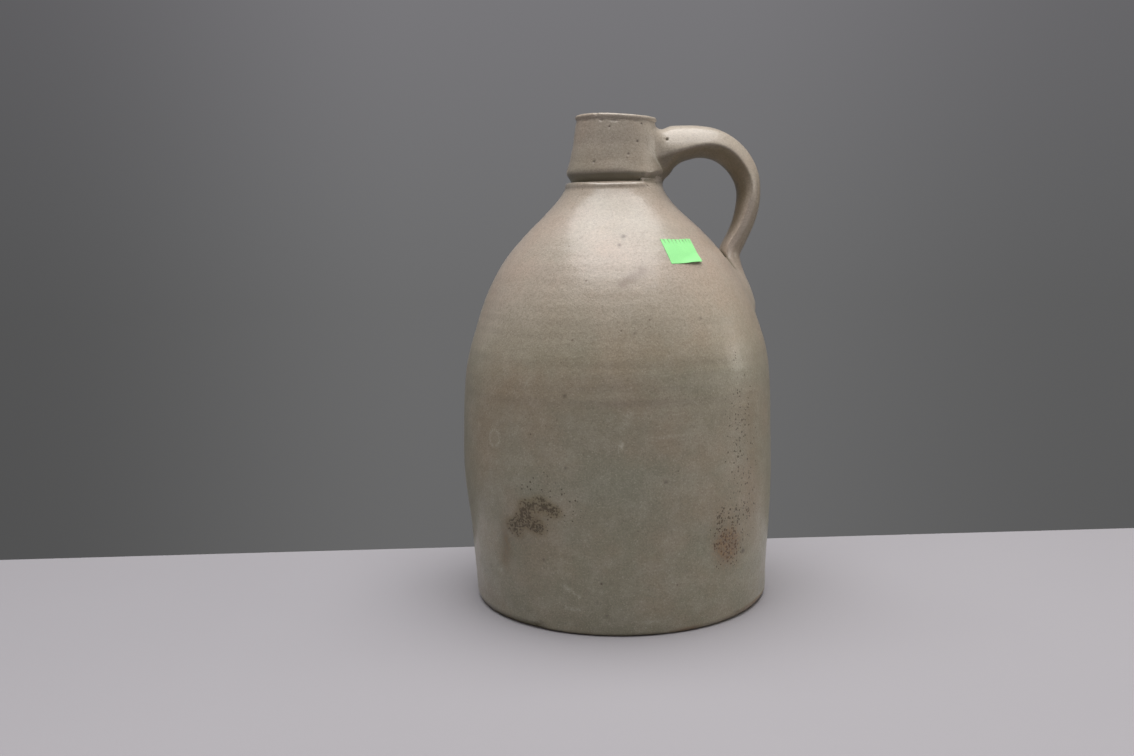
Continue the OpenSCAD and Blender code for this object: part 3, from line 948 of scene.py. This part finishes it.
class Tree:
    """Short names for making a material's nodes."""

    def __init__(self, name):
        self.mat = bpy.data.materials.new(name)
        self.mat.use_nodes = True
        self.nt = self.mat.node_tree
        self.nt.nodes.clear()
        self.out = self.add("ShaderNodeOutputMaterial")
        self.bsdf = self.add("ShaderNodeBsdfPrincipled")
        self.nt.links.new(self.bsdf.outputs[0], self.out.inputs["Surface"])
        self.coord = self.add("ShaderNodeTexCoord").outputs["Object"]

    def add(self, kind, **props):
        n = self.nt.nodes.new(kind)
        for k, v in props.items():
            setattr(n, k, v)
        return n

    def put(self, socket, value):
        if value is None:
            return
        if isinstance(value, bpy.types.NodeSocket):
            self.nt.links.new(value, socket)
        else:
            socket.default_value = value

    def scaled(self, scale):
        n = self.add("ShaderNodeMapping")
        self.put(n.inputs["Vector"], self.coord)
        n.inputs["Scale"].default_value = scale
        return n.outputs[0]

    def noise(self, scale, detail=3.0, rough=0.5, vector=None, distortion=0.0):
        n = self.add("ShaderNodeTexNoise")
        self.put(n.inputs["Vector"], vector or self.coord)
        n.inputs["Scale"].default_value = scale
        n.inputs["Detail"].default_value = detail
        n.inputs["Roughness"].default_value = rough
        n.inputs["Distortion"].default_value = distortion
        return n.outputs["Fac"]

    def cells(self, scale, feature="F1", vector=None, output="Distance", randomness=1.0):
        n = self.add("ShaderNodeTexVoronoi", feature=feature)
        self.put(n.inputs["Vector"], vector or self.coord)
        n.inputs["Scale"].default_value = scale
        n.inputs["Randomness"].default_value = randomness
        return n.outputs[output]

    def attr(self, name):
        return self.add("ShaderNodeAttribute", attribute_name=name).outputs["Fac"]

    def math(self, op, a, b=None, c=None, clamp=False):
        n = self.add("ShaderNodeMath", operation=op, use_clamp=clamp)
        for socket, value in zip(n.inputs, (a, b, c)):
            self.put(socket, value)
        return n.outputs[0]

    def ramp(self, fac, low, high, to_low=0.0, to_high=1.0, kind="SMOOTHSTEP"):
        n = self.add("ShaderNodeMapRange", interpolation_type=kind)
        self.put(n.inputs["Value"], fac)
        for name, value in (("From Min", low), ("From Max", high), ("To Min", to_low), ("To Max", to_high)):
            n.inputs[name].default_value = value
        return n.outputs["Result"]

    def mix(self, fac, a, b, blend="MIX"):
        n = self.add("ShaderNodeMix", data_type="RGBA", blend_type=blend)
        self.put(n.inputs[0], fac)
        self.put(n.inputs[6], a)
        self.put(n.inputs[7], b)
        return n.outputs[2]

    def colours(self, fac, stops):
        n = self.add("ShaderNodeValToRGB")
        self.put(n.inputs[0], fac)
        e = n.color_ramp.elements
        while len(e) < len(stops):
            e.new(0.5)
        for el, (at, colour) in zip(e, stops):
            el.position = at
            el.color = colour
        return n.outputs[0]

    def height(self, h, distance, normal=None, strength=1.0):
        n = self.add("ShaderNodeBump")
        n.inputs["Strength"].default_value = strength
        n.inputs["Distance"].default_value = distance
        self.put(n.inputs["Height"], h)
        self.put(n.inputs["Normal"], normal)
        return n.outputs[0]


def glaze():
    t = Tree("salt_glaze")
    b = t.bsdf
    xyz = t.add("ShaderNodeSeparateXYZ")
    t.put(xyz.inputs[0], t.coord)
    z = xyz.outputs["Z"]

    big = t.noise(9.0, 3.0, 0.55)
    mid = t.noise(28.0, 4.0, 0.6)
    blotch = t.noise(85.0, 4.0, 0.6)
    # The colour grows lighter up the shoulder: partly the glaze's own tone, partly a painted highlight where the
    # overhead light falls brightest. The height at which the tone changes is uneven.
    zz = t.math("ADD", z, t.math("MULTIPLY", t.math("SUBTRACT", big, 0.5), 0.06))
    base = t.colours(t.math("DIVIDE", zz, 0.28), [
        (0.0, srgb(143, 139, 118)), (0.10, srgb(149, 145, 122)), (0.16, srgb(151, 147, 123)), (0.34, srgb(154, 148, 127)),
        (0.50, srgb(162, 154, 133)), (0.60, srgb(182, 171, 153)), (0.70, srgb(187, 173, 159)),
        (0.80, srgb(183, 170, 157)), (0.88, srgb(179, 168, 153)), (1.0, srgb(179, 168, 153))])
    # Pink-buff and grey-green drifts.
    base = t.mix(t.ramp(mid, 0.42, 0.68), base, t.mix(0.16, base, srgb(196, 160, 134)))
    base = t.mix(t.ramp(t.noise(14.0, 2.0, 0.5, t.scaled((1.0, 1.0, 1.7))), 0.5, 0.74), base,
                 t.mix(0.3, base, srgb(140, 146, 128)))
    base = t.mix(t.math("MULTIPLY", t.attr("warm"), 0.5), base, srgb(160, 128, 96))
    base = t.mix(t.ramp(blotch, 0.40, 0.66, 0.0, 0.16), base, srgb(205, 196, 180))
    # Fine mottling of the salt glaze, drawn out sideways.
    fine = t.noise(620.0, 4.0, 0.62, t.scaled((1.0, 1.0, 1.35)))
    base = t.mix(t.ramp(fine, 0.34, 0.66, 0.20, 0.0), base, srgb(96, 88, 74))
    grain = t.noise(1300.0, 2.0, 0.6)
    base = t.mix(t.ramp(grain, 0.30, 0.46, 0.30, 0.0), base, srgb(94, 84, 70))
    base = t.mix(t.ramp(grain, 0.56, 0.72, 0.0, 0.30), base, srgb(214, 204, 188))

    # Iron specks of two sizes, thinly strewn.
    def specks(scale, size, rare, seed):
        v = t.add("ShaderNodeMapping")
        t.put(v.inputs["Vector"], t.coord)
        v.inputs["Location"].default_value = (seed, seed * 1.7, seed * 0.3)
        d = t.cells(scale, vector=v.outputs[0])
        who = t.add("ShaderNodeSeparateColor")
        t.put(who.inputs[0], t.cells(scale, vector=v.outputs[0], output="Color"))
        chosen = t.ramp(who.outputs[0], rare, rare + 0.02)
        radius = t.math("MULTIPLY", who.outputs[1], size)
        return t.math("MULTIPLY", chosen, t.ramp(t.math("SUBTRACT", d, radius), 0.0, -0.07))
    small = specks(330.0, 0.24, 0.91, 3.1)
    large = specks(120.0, 0.15, 0.95, 7.7)
    base = t.mix(t.math("MULTIPLY", small, 0.5), base, srgb(92, 72, 54))
    base = t.mix(t.math("MULTIPLY", large, 0.75), base, srgb(78, 58, 44))

    # Scorched clusters: dots that grow and run together where "burn" is high.
    burn = t.attr("burn")
    ragged = t.noise(620.0, 3.0, 0.6)
    strewn = t.math("MAXIMUM", t.attr("dots"), t.math("MULTIPLY", burn, 0.55))
    blots = t.noise(520.0, 3.0, 0.6, distortion=0.8)
    blots = t.ramp(t.math("ADD", blots, t.math("MULTIPLY", burn, 0.28)), 0.72, 0.83)
    seeds = t.cells(740.0)
    who = t.add("ShaderNodeSeparateColor")
    t.put(who.inputs[0], t.cells(740.0, output="Color"))
    reach = t.math("MULTIPLY", t.ramp(who.outputs[1], 0.0, 1.0, 0.26, 0.66, "LINEAR"),
                   t.ramp(strewn, 0.0, 0.6, 0.6, 1.0, "LINEAR"))
    taken = t.math("MULTIPLY", t.ramp(t.math("SUBTRACT", t.math("MULTIPLY", strewn, 0.9), who.outputs[0]), 0.0, 0.04),
                   t.ramp(strewn, 0.02, 0.08))
    grains = t.math("MULTIPLY", t.ramp(t.math("SUBTRACT", seeds, reach), 0.06, -0.08), taken)
    dot = t.math("MAXIMUM", t.math("MULTIPLY", blots, t.ramp(burn, 0.05, 0.3)), t.math("MULTIPLY", grains, 0.95))
    base = t.mix(t.math("MULTIPLY", t.ramp(burn, 0.02, 0.7), 0.5), base, srgb(128, 112, 74))
    base = t.mix(t.math("MULTIPLY", t.attr("rust"), t.ramp(ragged, 0.3, 0.7, 0.55, 0.95), clamp=True), base,
                 t.mix(t.ramp(ragged, 0.35, 0.65), srgb(112, 84, 54), srgb(148, 120, 84)))
    base = t.mix(t.math("MULTIPLY", dot, 0.80), base, t.mix(t.attr("rust"), srgb(76, 64, 40), srgb(90, 62, 36)))

    spot_mask = t.attr("spot")
    base = t.mix(t.math("MULTIPLY", spot_mask, 0.85, clamp=True), base, srgb(62, 44, 36))
    smudge = t.math("MULTIPLY", t.attr("smudge"), t.ramp(blotch, 0.3, 0.7, 0.4, 1.0))
    base = t.mix(t.math("MULTIPLY", smudge, 0.62, clamp=True), base, srgb(112, 92, 82))
    white = t.math("MULTIPLY", t.attr("white"), t.ramp(t.noise(900.0, 3.0, 0.6), 0.32, 0.62))
    base = t.mix(t.math("MULTIPLY", white, 0.62, clamp=True), base, srgb(214, 208, 192))
    # Darker in the crease under the collar and in the crack where the strap's tail meets the shoulder: painted shade,
    # with some real dirt there.
    dirt_and_painted_shade = t.attr("dirt_and_painted_shade")
    base = t.mix(t.math("MULTIPLY", dirt_and_painted_shade, t.ramp(mid, 0.3, 0.7, 0.72, 0.95), clamp=True), base, srgb(106, 100, 78))
    # Painted shade under the strap, on the outer face of its lower part and round its root; also a darker, yellower
    # tint on the lower left of the body and on the collar's left.
    tint_and_painted_shade = t.math("MULTIPLY", t.attr("tint_and_painted_shade"), t.ramp(blotch, 0.3, 0.7, 0.8, 1.0), clamp=True)
    base = t.mix(tint_and_painted_shade, base, t.mix(1.0, base, srgb(176, 170, 150), "MULTIPLY"))
    olive = t.math("MULTIPLY", t.attr("olive"), t.ramp(t.noise(240.0, 4.0, 0.65), 0.3, 0.64, 0.55, 1.0))
    base = t.mix(t.math("MULTIPLY", olive, 0.72, clamp=True), base, srgb(112, 104, 74))
    raw = t.math("MULTIPLY", t.attr("raw"), t.ramp(t.noise(300.0, 4.0, 0.6), 0.25, 0.6, 0.6, 1.0))
    base = t.mix(t.math("MULTIPLY", raw, 0.9, clamp=True), base,
                 t.mix(t.noise(900.0, 4.0, 0.6), srgb(150, 120, 92), srgb(118, 92, 70)))
    slip = t.attr("slip")
    slip_edge = t.ramp(t.math("ADD", slip, t.math("MULTIPLY", t.math("SUBTRACT", t.noise(330.0), 0.5), 0.5)), 0.42, 0.58)
    base = t.mix(slip_edge, base, t.mix(t.noise(160.0, 4.0, 0.6), srgb(84, 52, 32), srgb(58, 34, 22)))
    t.put(b.inputs["Base Color"], base)

    rough = t.ramp(t.noise(70.0, 3.0, 0.6), 0.3, 0.7, 0.33, 0.43)
    rough = t.math("ADD", rough, t.math("MULTIPLY", t.attr("raw"), 0.4))
    rough = t.math("ADD", rough, t.math("MULTIPLY", t.math("MAXIMUM", dot, t.attr("white")), 0.14))
    rough = t.math("SUBTRACT", rough, t.math("MULTIPLY", slip_edge, 0.16), clamp=True)
    wet = t.attr("wet")
    rough = t.math("SUBTRACT", rough, t.math("MULTIPLY", wet, 0.2), clamp=True)
    t.put(b.inputs["Roughness"], rough)
    b.inputs["IOR"].default_value = 1.5
    t.put(b.inputs["Coat Weight"], t.math("ADD", 0.35, t.math("MULTIPLY", wet, 0.65)))
    t.put(b.inputs["Coat Roughness"], t.ramp(wet, 0.0, 1.0, 0.19, 0.08, "LINEAR"))

    # Orange-peel skin, long faint streaks from the rib, pits and pops.
    n = t.height(t.noise(26.0, 2.0, 0.5, t.scaled((1.0, 1.0, 6.0))), 0.00006)
    n = t.height(t.noise(100.0, 3.0, 0.6, t.scaled((1.0, 1.0, 1.5))), 0.00009, n)
    n = t.height(t.noise(430.0, 3.0, 0.55), 0.00015, n)
    n = t.height(t.noise(1100.0, 3.0, 0.6), 0.00009, n)
    pits = t.ramp(t.cells(700.0), 0.05, 0.28)
    n = t.height(pits, 0.00006, n)
    n = t.height(t.math("MULTIPLY", dot, -1.0), 0.00018, n)
    n = t.height(t.math("MULTIPLY", t.attr("raw"), t.noise(700.0, 4.0, 0.7)), 0.0004, n)
    t.put(b.inputs["Normal"], n)
    return t.mat


def brown_slip():
    t = Tree("brown_slip_glaze")
    b = t.bsdf
    mid = t.noise(40.0, 4.0, 0.6)
    c = t.mix(mid, srgb(66, 38, 24), srgb(96, 60, 36))
    c = t.mix(t.ramp(t.noise(260.0, 4.0, 0.6), 0.45, 0.7, 0.0, 0.5), c, srgb(44, 24, 16))
    t.put(b.inputs["Base Color"], c)
    t.put(b.inputs["Roughness"], t.ramp(t.noise(90.0), 0.3, 0.7, 0.16, 0.32))
    n = t.height(t.noise(36.0, 2.0, 0.5, t.scaled((1.0, 1.0, 6.0))), 0.0006)
    n = t.height(t.noise(420.0, 3.0, 0.6), 0.00014, n)
    t.put(b.inputs["Normal"], n)
    b.inputs["IOR"].default_value = 1.5
    return t.mat


def label_paper():
    t = Tree("green_label_paper")
    b = t.bsdf
    fibre = t.noise(2600.0, 4.0, 0.7, t.scaled((1.0, 1.0, 2.2)))
    c = t.mix(t.ramp(fibre, 0.3, 0.7), srgb(148, 238, 148), srgb(160, 246, 158))
    c = t.mix(t.ramp(t.noise(120.0, 3.0, 0.5), 0.4, 0.75, 0.0, 0.22), c, srgb(132, 222, 134))
    t.put(b.inputs["Base Color"], c)
    b.inputs["Roughness"].default_value = 0.62
    b.inputs["Sheen Weight"].default_value = 0.15
    n = t.height(fibre, 0.00003)
    n = t.height(t.noise(220.0, 3.0, 0.5), 0.00012, n)
    t.put(b.inputs["Normal"], n)
    return t.mat


def table_top():
    t = Tree("pale_table")
    c = t.mix(t.noise(3.0, 3.0, 0.5), srgb(164, 162, 167), srgb(169, 167, 172))
    t.put(t.bsdf.inputs["Base Color"], c)
    t.bsdf.inputs["Roughness"].default_value = 0.72
    t.put(t.bsdf.inputs["Normal"], t.height(t.noise(900.0, 2.0, 0.5), 0.00003))
    return t.mat


GLAZE, SLIP, PAPER = glaze(), brown_slip(), label_paper()

# ---------------------------------------------------------------- the jug
body, body_p, body_i = build_body([GLAZE])
shoulder, shoulder_p, shoulder_i = build_shoulder([GLAZE])
collar, collar_p, collar_i = build_collar([GLAZE])
handle, handle_p, handle_i = build_handle([GLAZE])
lining = build_lining([SLIP])
label = build_label([PAPER])


def rows_on(p, first, last):
    m = np.zeros(p.shape[:2])
    m[first:last] = 1.0
    return m


def padded(values, o):
    """Adds a 0 for each cap's middle point."""
    v = np.asarray(values, float).ravel()
    return np.concatenate([v, np.zeros(len(o.data.vertices) - len(v))])


def marks(p, skin):
    """Soft patches that the glaze's colour follows, by name."""
    burn = (
        0.95 * spot(p, -141.2, 56.8, 4.6, 4.2, power=1.5)
        + 1.00 * spot(p, -130.6, 58.6, 7.4, 4.6, -18, 1.5)
        + 0.85 * spot(p, -133.8, 68.2, 4.6, 4.6, power=1.5)
        + 0.95 * spot(p, -127.8, 70.8, 6.0, 4.8, power=1.5)
        + 0.90 * spot(p, -122.6, 68.0, 5.2, 4.0, -20, 1.5)
        + 0.80 * spot(p, -136.0, 60.8, 5.4, 4.6, power=1.5)
        + 0.60 * spot(p, -138.0, 53.0, 5.0, 4.0, power=1.5)
        + 0.35 * spot(p, -131.0, 63.0, 12.0, 8.0)
    )
    burn = np.clip(burn, 0, 1)
    dots = (
        0.30 * spot(p, -127.0, 79.0, 15.0, 7.0)
        + 0.20 * spot(p, -116.0, 70.0, 7.0, 9.0)
        + 0.85 * spot(p, -59.5, 45.0, 10.5, 9.0, power=1.5)
        + 0.35 * spot(p, -58.0, 35.0, 10.0, 6.0)
        + 0.62 * spot(p, -60.5, 60.0, 11.5, 9.5, power=1.4)
        + 0.46 * spot(p, -48.5, 60.0, 9.0, 14.0)
        + 0.34 * spot(p, -52.0, 88.0, 12.0, 18.0)
        + 0.30 * spot(p, -53.0, 116.0, 12.0, 18.0)
        + 0.12 * spot(p, -53.0, 140.0, 9.0, 14.0)
    )
    rust = (
        0.25 * spot(p, -131.0, 63.0, 13.0, 9.0)
        + 0.80 * spot(p, -144.8, 46.0, 3.4, 9.5)
        + 0.60 * spot(p, -147.0, 36.0, 3.0, 5.0)
        + 1.0 * spot(p, -59.5, 44.5, 10.4, 8.6, power=1.7)
        + 0.42 * spot(p, -58.5, 35.0, 10.0, 6.0)
        + 0.32 * spot(p, -60.0, 54.0, 14.0, 14.0)
        + 0.30 * spot(p, -46.0, 60.0, 9.0, 14.0)
        + 0.30 * spot(p, -47.0, 90.0, 8.0, 18.0)
        + 0.25 * spot(p, -48.0, 116.0, 8.0, 14.0)
    )
    warm = (
        0.55 * spot(p, -152.0, 118.0, 16.0, 24.0)
        + 0.35 * spot(p, -140.0, 128.0, 16.0, 12.0)
        + 0.30 * spot(p, -158.0, 90.0, 10.0, 30.0)
        + 0.35 * spot(p, -30.0, 180.0, 30.0, 30.0)
        + 0.25 * spot(p, -60.0, 222.0, 10.0, 10.0)
        + 0.45 * spot(p, 60.0, 80.0, 40.0, 26.0)
        + 0.4 * spot(p, 130.0, 130.0, 30.0, 20.0)
    )
    white = (
        0.75 * np.exp(-((np.hypot(np.radians(gap(place_of(p)[0], -147.8)) * place_of(p)[1],
                                  place_of(p)[2] - 102.8) - 4.4) / 0.9) ** 2)
        * (0.4 + 0.6 * perlin(p / 2.6, 61) + 0.3)
        + 0.9 * spot(p, -99.1, 103.3, 1.5, 2.6, -12)
        + 0.75 * spot(p, -103.4, 116.7, 1.0)
        + 0.6 * spot(p, -96.7, 119.3, 2.6, 1.4, 30)
        + 0.5 * spot(p, -98.0, 113.5, 2.8, 1.6, 35)
        + 0.6 * spot(p, -149.6, 28.7, 3.2, 1.3, 24)
        + 0.5 * spot(p, -146.0, 90.0, 1.6, 1.0)
        + 0.4 * spot(p, -133.0, 134.0, 2.6, 1.2)
        + 0.35 * spot(p, -82.0, 107.0, 14.0, 0.9, 4)
        + 0.7 * line(p, -121.0, 27.4, -115.0, 21.6, 0.8)
        + 0.5 * line(p, -120.3, 14.6, -114.9, 14.3, 0.8)
        + 0.45 * spot(p, -89.0, 7.8, 7.0, 1.6)
    )
    dark = sum(k * spot(p, a, z, w, h) for a, z, w, h, k in (
        (-95.1, 209.0, 1.5, 0.7, 0.95), (-97.8, 204.6, 0.95, 0.8, 0.9), (-109.3, 269.3, 0.6, 0.5, 0.8),
        (-69.6, 261.0, 0.75, 0.6, 0.9), (-82.7, 254.0, 0.8, 0.6, 0.8), (-125.9, 250.1, 0.8, 0.7, 0.8),
        (-62.1, 272.1, 0.7, 0.7, 0.8), (-36.1, 238.3, 0.7, 0.7, 0.8), (-70.0, 227.9, 0.6, 0.5, 0.6),
        (-84.3, 83.6, 1.3, 0.6, 0.9), (-117.5, 91.4, 0.7, 0.7, 0.8), (-118.2, 128.5, 1.3, 1.0, 0.75),
        (-108.8, 18.8, 0.8, 0.8, 0.6), (-105.4, 11.8, 0.8, 0.8, 0.7), (-133.3, 2.1, 1.2, 1.0, 0.9),
        (-130.5, 1.6, 1.5, 0.8, 0.8), (-50.5, 38.0, 1.5, 1.2, 0.9), (-94.0, 160.0, 0.7, 0.7, 0.6),
        (-128.0, 40.0, 0.8, 0.8, 0.7), (-67.0, 166.0, 0.8, 0.7, 0.6), (-120.0, 209.0, 0.7, 0.6, 0.4)))
    smudge = (
        0.8 * spot(p, -93.9, 187.6, 6.0, 2.2, 18)
        + 0.7 * spot(p, -88.0, 191.0, 3.0, 3.0)
        + 0.7 * spot(p, -97.4, 183.7, 2.4, 1.4)
        + 0.35 * spot(p, -96.0, 125.0, 22.0, 2.2, 2)
        + 0.3 * spot(p, -101.0, 134.0, 26.0, 2.6, -2)
    )
    seam_pool = 0.18 * bump(p[..., 2], 123.0, 2.0) + 0.14 * bump(p[..., 2], 143.0, 2.2)
    smudge = smudge + seam_pool * (0.6 + 0.8 * perlin(p / 24.0, 62))
    for name, v in (("burn", burn), ("dots", dots), ("rust", rust), ("warm", warm), ("white", white), ("spot", dark),
                    ("smudge", smudge)):
        yield name, np.clip(v, 0, 1) * skin


for o, p, i in ((body, body_p, body_i), (shoulder, shoulder_p, shoulder_i), (collar, collar_p, collar_i)):
    skin = rows_on(p, 12 if o is body else 1, i["n_outer"] if o is not collar else i["n_lip"])
    for name, v in marks(p, skin):
        set_mask(o, name, padded(v, o))

a, r, z = place_of(body_p)
raw = rows_on(body_p, 0, 12)
edge = rows_on(body_p, 12, 25)
cut = body_i["cut"][None, :]
high = body_i["high"][None, :]
chamfer = step(1.12, 0.86, z / high) * edge
brown = np.clip(step(-66, -30, gap(a, 0)) * step(40, 10, gap(a, 0)) + bump(gap(a, -76), 0, 5) * 0.8, 0, 1)
streak = (0.55 * spot(body_p, -145.5, 46.0, 4.0, 11.0) + 0.4 * spot(body_p, -147.5, 33.0, 3.6, 8.0)) * rows_on(body_p, 12, body_i["n_outer"])
set_mask(body, "olive", padded(np.clip(chamfer * (0.55 * cut + 0.35) + 0.25 * chamfer * brown + streak, 0, 1), body))
set_mask(body, "tint_and_painted_shade", padded(np.clip(0.34 * spot(body_p, -140.0, 46.0, 20.0, 22.0), 0, 1) * rows_on(body_p, 12, body_i["n_outer"]),
                              body))
set_mask(body, "raw", padded(np.clip(raw + step(0.9, 0.1, z) * edge + 0.8 * chamfer * brown, 0, 1), body))

a, r, z = place_of(collar_p)
w = smeared(a)
# Painted shade in the crease under the collar's rounded edge, and a softer painted shadow where clay fills the crease
# by the handle; some real dirt sits there too.
groove = step(238.4, 239.4, z) * step(245.2, 243.2, z) * rows_on(collar_p, 0, collar_i["n_low"] + 3)
dirt_and_painted_shade = groove * (1 - w) + 0.85 * w * bump(z, 240.8, 2.6) * rows_on(collar_p, 0, collar_i["n_low"] + 3)
inner = rows_on(collar_p, collar_i["n_lip"] - 18, len(collar_p))
set_mask(collar, "dirt_and_painted_shade", padded(dirt_and_painted_shade, collar))
set_mask(collar, "slip", padded(inner * step(19.6, 16.6, r) + rows_on(collar_p, collar_i["n_lip"], len(collar_p)), collar))
# Painted shade under the strap's root, on the collar and in the crease below it; also darker on the collar's left.
set_mask(collar, "tint_and_painted_shade", padded(np.clip(0.9 * spot(collar_p, -22.0, 252.5, 8.0, 5.0) + 0.6 * spot(collar_p, -24.0, 242.0, 12.0, 3.5)
                                         + 0.36 * spot(collar_p, -142.0, 249.0, 22.0, 8.0),
                                         0, 1), collar))
a, r, z = place_of(shoulder_p)
bead = step(235.8, 236.6, z) * step(26.0, 26.6, r) * (1 - smeared(a)) * rows_on(shoulder_p, 1, shoulder_i["n_outer"])
set_mask(shoulder, "wet", padded(bead * (0.65 + 0.5 * perlin(shoulder_p / 5.0, 63)), shoulder))

# Painted shade in the crack where the strap's tail meets the shoulder, together with the dark of the pit.
_, dj, ds = union(handle_p)
crack = step(2.4, 0.3, np.abs(dj) + np.abs(ds)) * step(184, 190, handle_p[..., 2]) * step(212, 203, handle_p[..., 2])
set_mask(handle, "dirt_and_painted_shade", padded(np.clip(crack + handle_i["pit"], 0, 1), handle))
set_mask(handle, "spot", padded(np.clip(handle_i["pit"] * 1.3, 0, 1), handle))
# Painted shade on the strap's underside, along its steep inner face further down, and on the outer face of its lower
# part.
along = handle_i["place"][:, None]
under = step(0.06, -0.16, handle_i["sn"])[None, :] * step(-6, 8, along) * step(STRAP_LEN - 28, STRAP_LEN - 60, along)
steep = step(-0.05, -0.85, handle_i["sn"])[None, :] * step(-6, 8, along) * step(STRAP_LEN - 28, STRAP_LEN - 60, along)
under = under + (steep - under) * step(64, 82, along)
outer = step(0.1, 0.4, handle_i["sn"])[None, :] * step(-0.82, -0.6, handle_i["across"]) * step(62, 84, along)
outer = outer * step(STRAP_LEN - 22, STRAP_LEN - 46, along)
set_mask(handle, "tint_and_painted_shade", padded(np.clip(under + 0.68 * outer, 0, 1), handle))

for o in (body, shoulder, collar, handle, lining):
    o.data.set_sharp_from_angle(angle=math.radians(50))

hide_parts("lower_body")
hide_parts("shoulder_cap")
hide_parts("spout_collar")
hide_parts("handle_strap", "handle_upper_luting", "handle_lower_pad")
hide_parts("slip_lining")
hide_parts("lot_label")
for o, slot in ((body, "glazed_stoneware"), (shoulder, "glazed_stoneware"), (collar, "glazed_stoneware"),
                (handle, "glazed_stoneware"), (lining, "brown_slip"), (label, "label_paper")):
    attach(o, "root")

# ---------------------------------------------------------------- stage
n = 60
xs, ys = np.linspace(-2200, 2200, n), np.linspace(-2200, 0, n)
gx, gy = np.meshgrid(xs, ys, indexing="ij")
k = np.arange(n * n).reshape(n, n)
quads = np.stack([k[:-1, :-1], k[1:, :-1], k[1:, 1:], k[:-1, 1:]], -1).reshape(-1, 4)
floor = make("floor", np.stack([gx, gy, 0 * gx], -1).reshape(-1, 3), quads, [], [table_top()])
floor.matrix_world = PICTURE @ Matrix.Translation((0, 0.0928, -0.00002)) @ Matrix.Rotation(math.radians(1.87), 4, "Z")

world = bpy.data.worlds.new("room")
scene.world = world
world.use_nodes = True
# The wall behind the jug is a plain grey that darkens a little downwards and
# towards both sides. The rest of the room is one even grey.
sky = Tree.__new__(Tree)
sky.nt = world.node_tree
place = sky.add("ShaderNodeMapping")
sky.put(place.inputs["Vector"], sky.add("ShaderNodeTexCoord").outputs["Generated"])
place.inputs["Rotation"].default_value = (0.0, 0.0, TURN)
axes = sky.add("ShaderNodeSeparateXYZ")
sky.put(axes.inputs[0], place.outputs[0])
wall = sky.colours(sky.math("ADD", sky.math("MULTIPLY", axes.outputs["Z"], 1.0), 0.5), [
    (0.22, (0.136, 0.136, 0.137, 1)), (0.44, (0.147, 0.147, 0.149, 1)), (0.52, (0.159, 0.159, 0.163, 1)),
    (0.70, (0.186, 0.183, 0.193, 1))])
sides = sky.math("ADD", sky.ramp(axes.outputs["X"], -0.12, -0.48, 0.0, 0.40), sky.ramp(axes.outputs["X"], 0.12, 0.46, 0.0, 0.26))
wall = sky.mix(sides, wall, (0.0, 0.0, 0.0, 1))
wall = sky.mix(sky.ramp(axes.outputs["Y"], 0.70, 0.86), (0.146, 0.144, 0.147, 1), wall)
sky.put(world.node_tree.nodes["Background"].inputs["Color"], wall)
world.node_tree.nodes["Background"].inputs["Strength"].default_value = 1.0


def soft_light(name, width, depth, brightness, where, turn, colour=(1, 1, 1)):
    """An area light whose face has the given brightness."""
    d = bpy.data.lights.new(name, "AREA")
    d.shape = "RECTANGLE"
    d.size, d.size_y = width, depth
    d.energy = brightness * math.pi * width * depth
    d.color = colour
    o = bpy.data.objects.new(name, d)
    scene.collection.objects.link(o)
    o.matrix_world = PICTURE @ Matrix.Translation(where) @ turn
    o.visible_camera = False
    return o


soft_light("ceiling", 1.45, 1.45, 4.4, (0.03, -0.125, 1.45), Matrix.Identity(4), (1.0, 0.978, 0.97))
aim = Matrix.Rotation(math.radians(78), 4, "Y")
soft_light("wall light", 1.5, 1.5, 0.44, (1.5, 0.1, 0.70), aim, (1.0, 0.90, 0.74))
aim = Matrix.Rotation(math.radians(2), 4, "Z") @ Matrix.Rotation(math.radians(82), 4, "Y")
soft_light("window", 0.38, 0.34, 3.1, (1.4, 0.11, 0.36), aim, (1.0, 0.95, 0.88))
aim = Matrix.Rotation(math.radians(-80), 4, "Y")
soft_light("far wall", 1.5, 1.5, 0.09, (-1.5, 0.4, 0.6), aim, (1.0, 0.94, 0.86))
